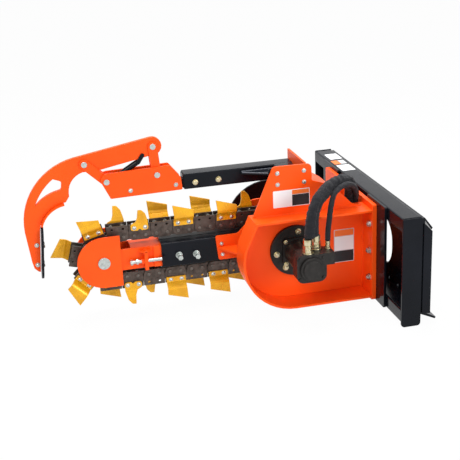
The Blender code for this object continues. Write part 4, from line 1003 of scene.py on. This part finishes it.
floor_mesh = bpy.data.meshes.new("floor")
floor_mesh.from_pydata([(-30, -30, 0), (30, -30, 0), (30, 30, 0), (-30, 30, 0)], [], [(0, 1, 2, 3)])
floor = bpy.data.objects.new("floor", floor_mesh)
floor.location.z = CAD_BOX[0].z
bpy.context.scene.collection.objects.link(floor)
floor_material = bpy.data.materials.new("pale_floor")
floor_material.use_nodes = True
tree = floor_material.node_tree
tree.nodes.clear()
diffuse = tree.nodes.new("ShaderNodeBsdfDiffuse")
diffuse.inputs["Color"].default_value = (0.85, 0.85, 0.85, 1)
glow = tree.nodes.new("ShaderNodeEmission")
glow.inputs["Strength"].default_value = 1.0
# A little of the diffuse shader stays in view, so that the floor keeps the object's shadow.
share = tree.nodes.new("ShaderNodeMath")
share.operation = "MULTIPLY"
share.inputs[1].default_value = 0.97
tree.links.new(seen_directly(tree), share.inputs[0])
mixed(
    tree, share.outputs["Value"], diffuse.outputs["BSDF"], glow.outputs["Emission"],
    "ShaderNodeOutputMaterial",
)
floor.data.materials.append(floor_material)

world = bpy.data.worlds.new("studio")
bpy.context.scene.world = world
world.use_nodes = True
tree = world.node_tree
tree.nodes.clear()
dim = tree.nodes.new("ShaderNodeBackground")
dim.inputs["Color"].default_value = (0.93, 0.96, 1.0, 1)
dim.inputs["Strength"].default_value = 0.42
white = tree.nodes.new("ShaderNodeBackground")
white.inputs["Color"].default_value = (1, 1, 1, 1)
white.inputs["Strength"].default_value = 1.0
mixed(
    tree, seen_directly(tree), dim.outputs["Background"], white.outputs["Background"],
    "ShaderNodeOutputWorld",
)


def lamp(name, place, size, energy, colour=(1, 1, 1)):
    """A round area lamp that faces the object's middle."""
    data = bpy.data.lights.new(name, "AREA")
    data.shape = "DISK"
    data.size = size
    data.energy = energy
    data.color = colour
    obj = bpy.data.objects.new(name, data)
    obj.location = place
    obj.rotation_mode = "QUATERNION"
    obj.rotation_quaternion = (Vector(MIDDLE) - Vector(place)).to_track_quat("-Z", "Y")
    bpy.context.scene.collection.objects.link(obj)


MIDDLE = (-0.75, 0.0, 0.1)
lamp("key", (-2.6, -3.2, 3.4), 2.4, 88, (1.0, 0.98, 0.95))
lamp("top", (-0.6, 0.8, 3.6), 3.0, 190)
lamp("fill", (1.6, -3.8, 1.2), 2.6, 85, (0.98, 0.99, 1.0))

camera_data = bpy.data.cameras.new("camera")
camera_data.sensor_width = 36
camera_data.lens = 74.766
camera_data.clip_start = 0.05
camera_data.clip_end = 100
camera = bpy.data.objects.new("camera", camera_data)
bpy.context.scene.collection.objects.link(camera)
# The camera's place and axes, fitted to the photograph.
CAMERA_PLACE = (-1.65216241, -4.12376106, 1.62767517)
RIGHT = (0.97084428, -0.23563346, -0.04402564)
UPWARD = (0.12140684, 0.3249778, 0.93789648)
BACKWARD = (-0.20669244, -0.91589645, 0.34411035)
camera.matrix_world = Matrix([*zip(RIGHT, UPWARD, BACKWARD, CAMERA_PLACE), (0, 0, 0, 1)])
bpy.context.scene.camera = camera

bpy.context.scene.view_settings.view_transform = "Standard"
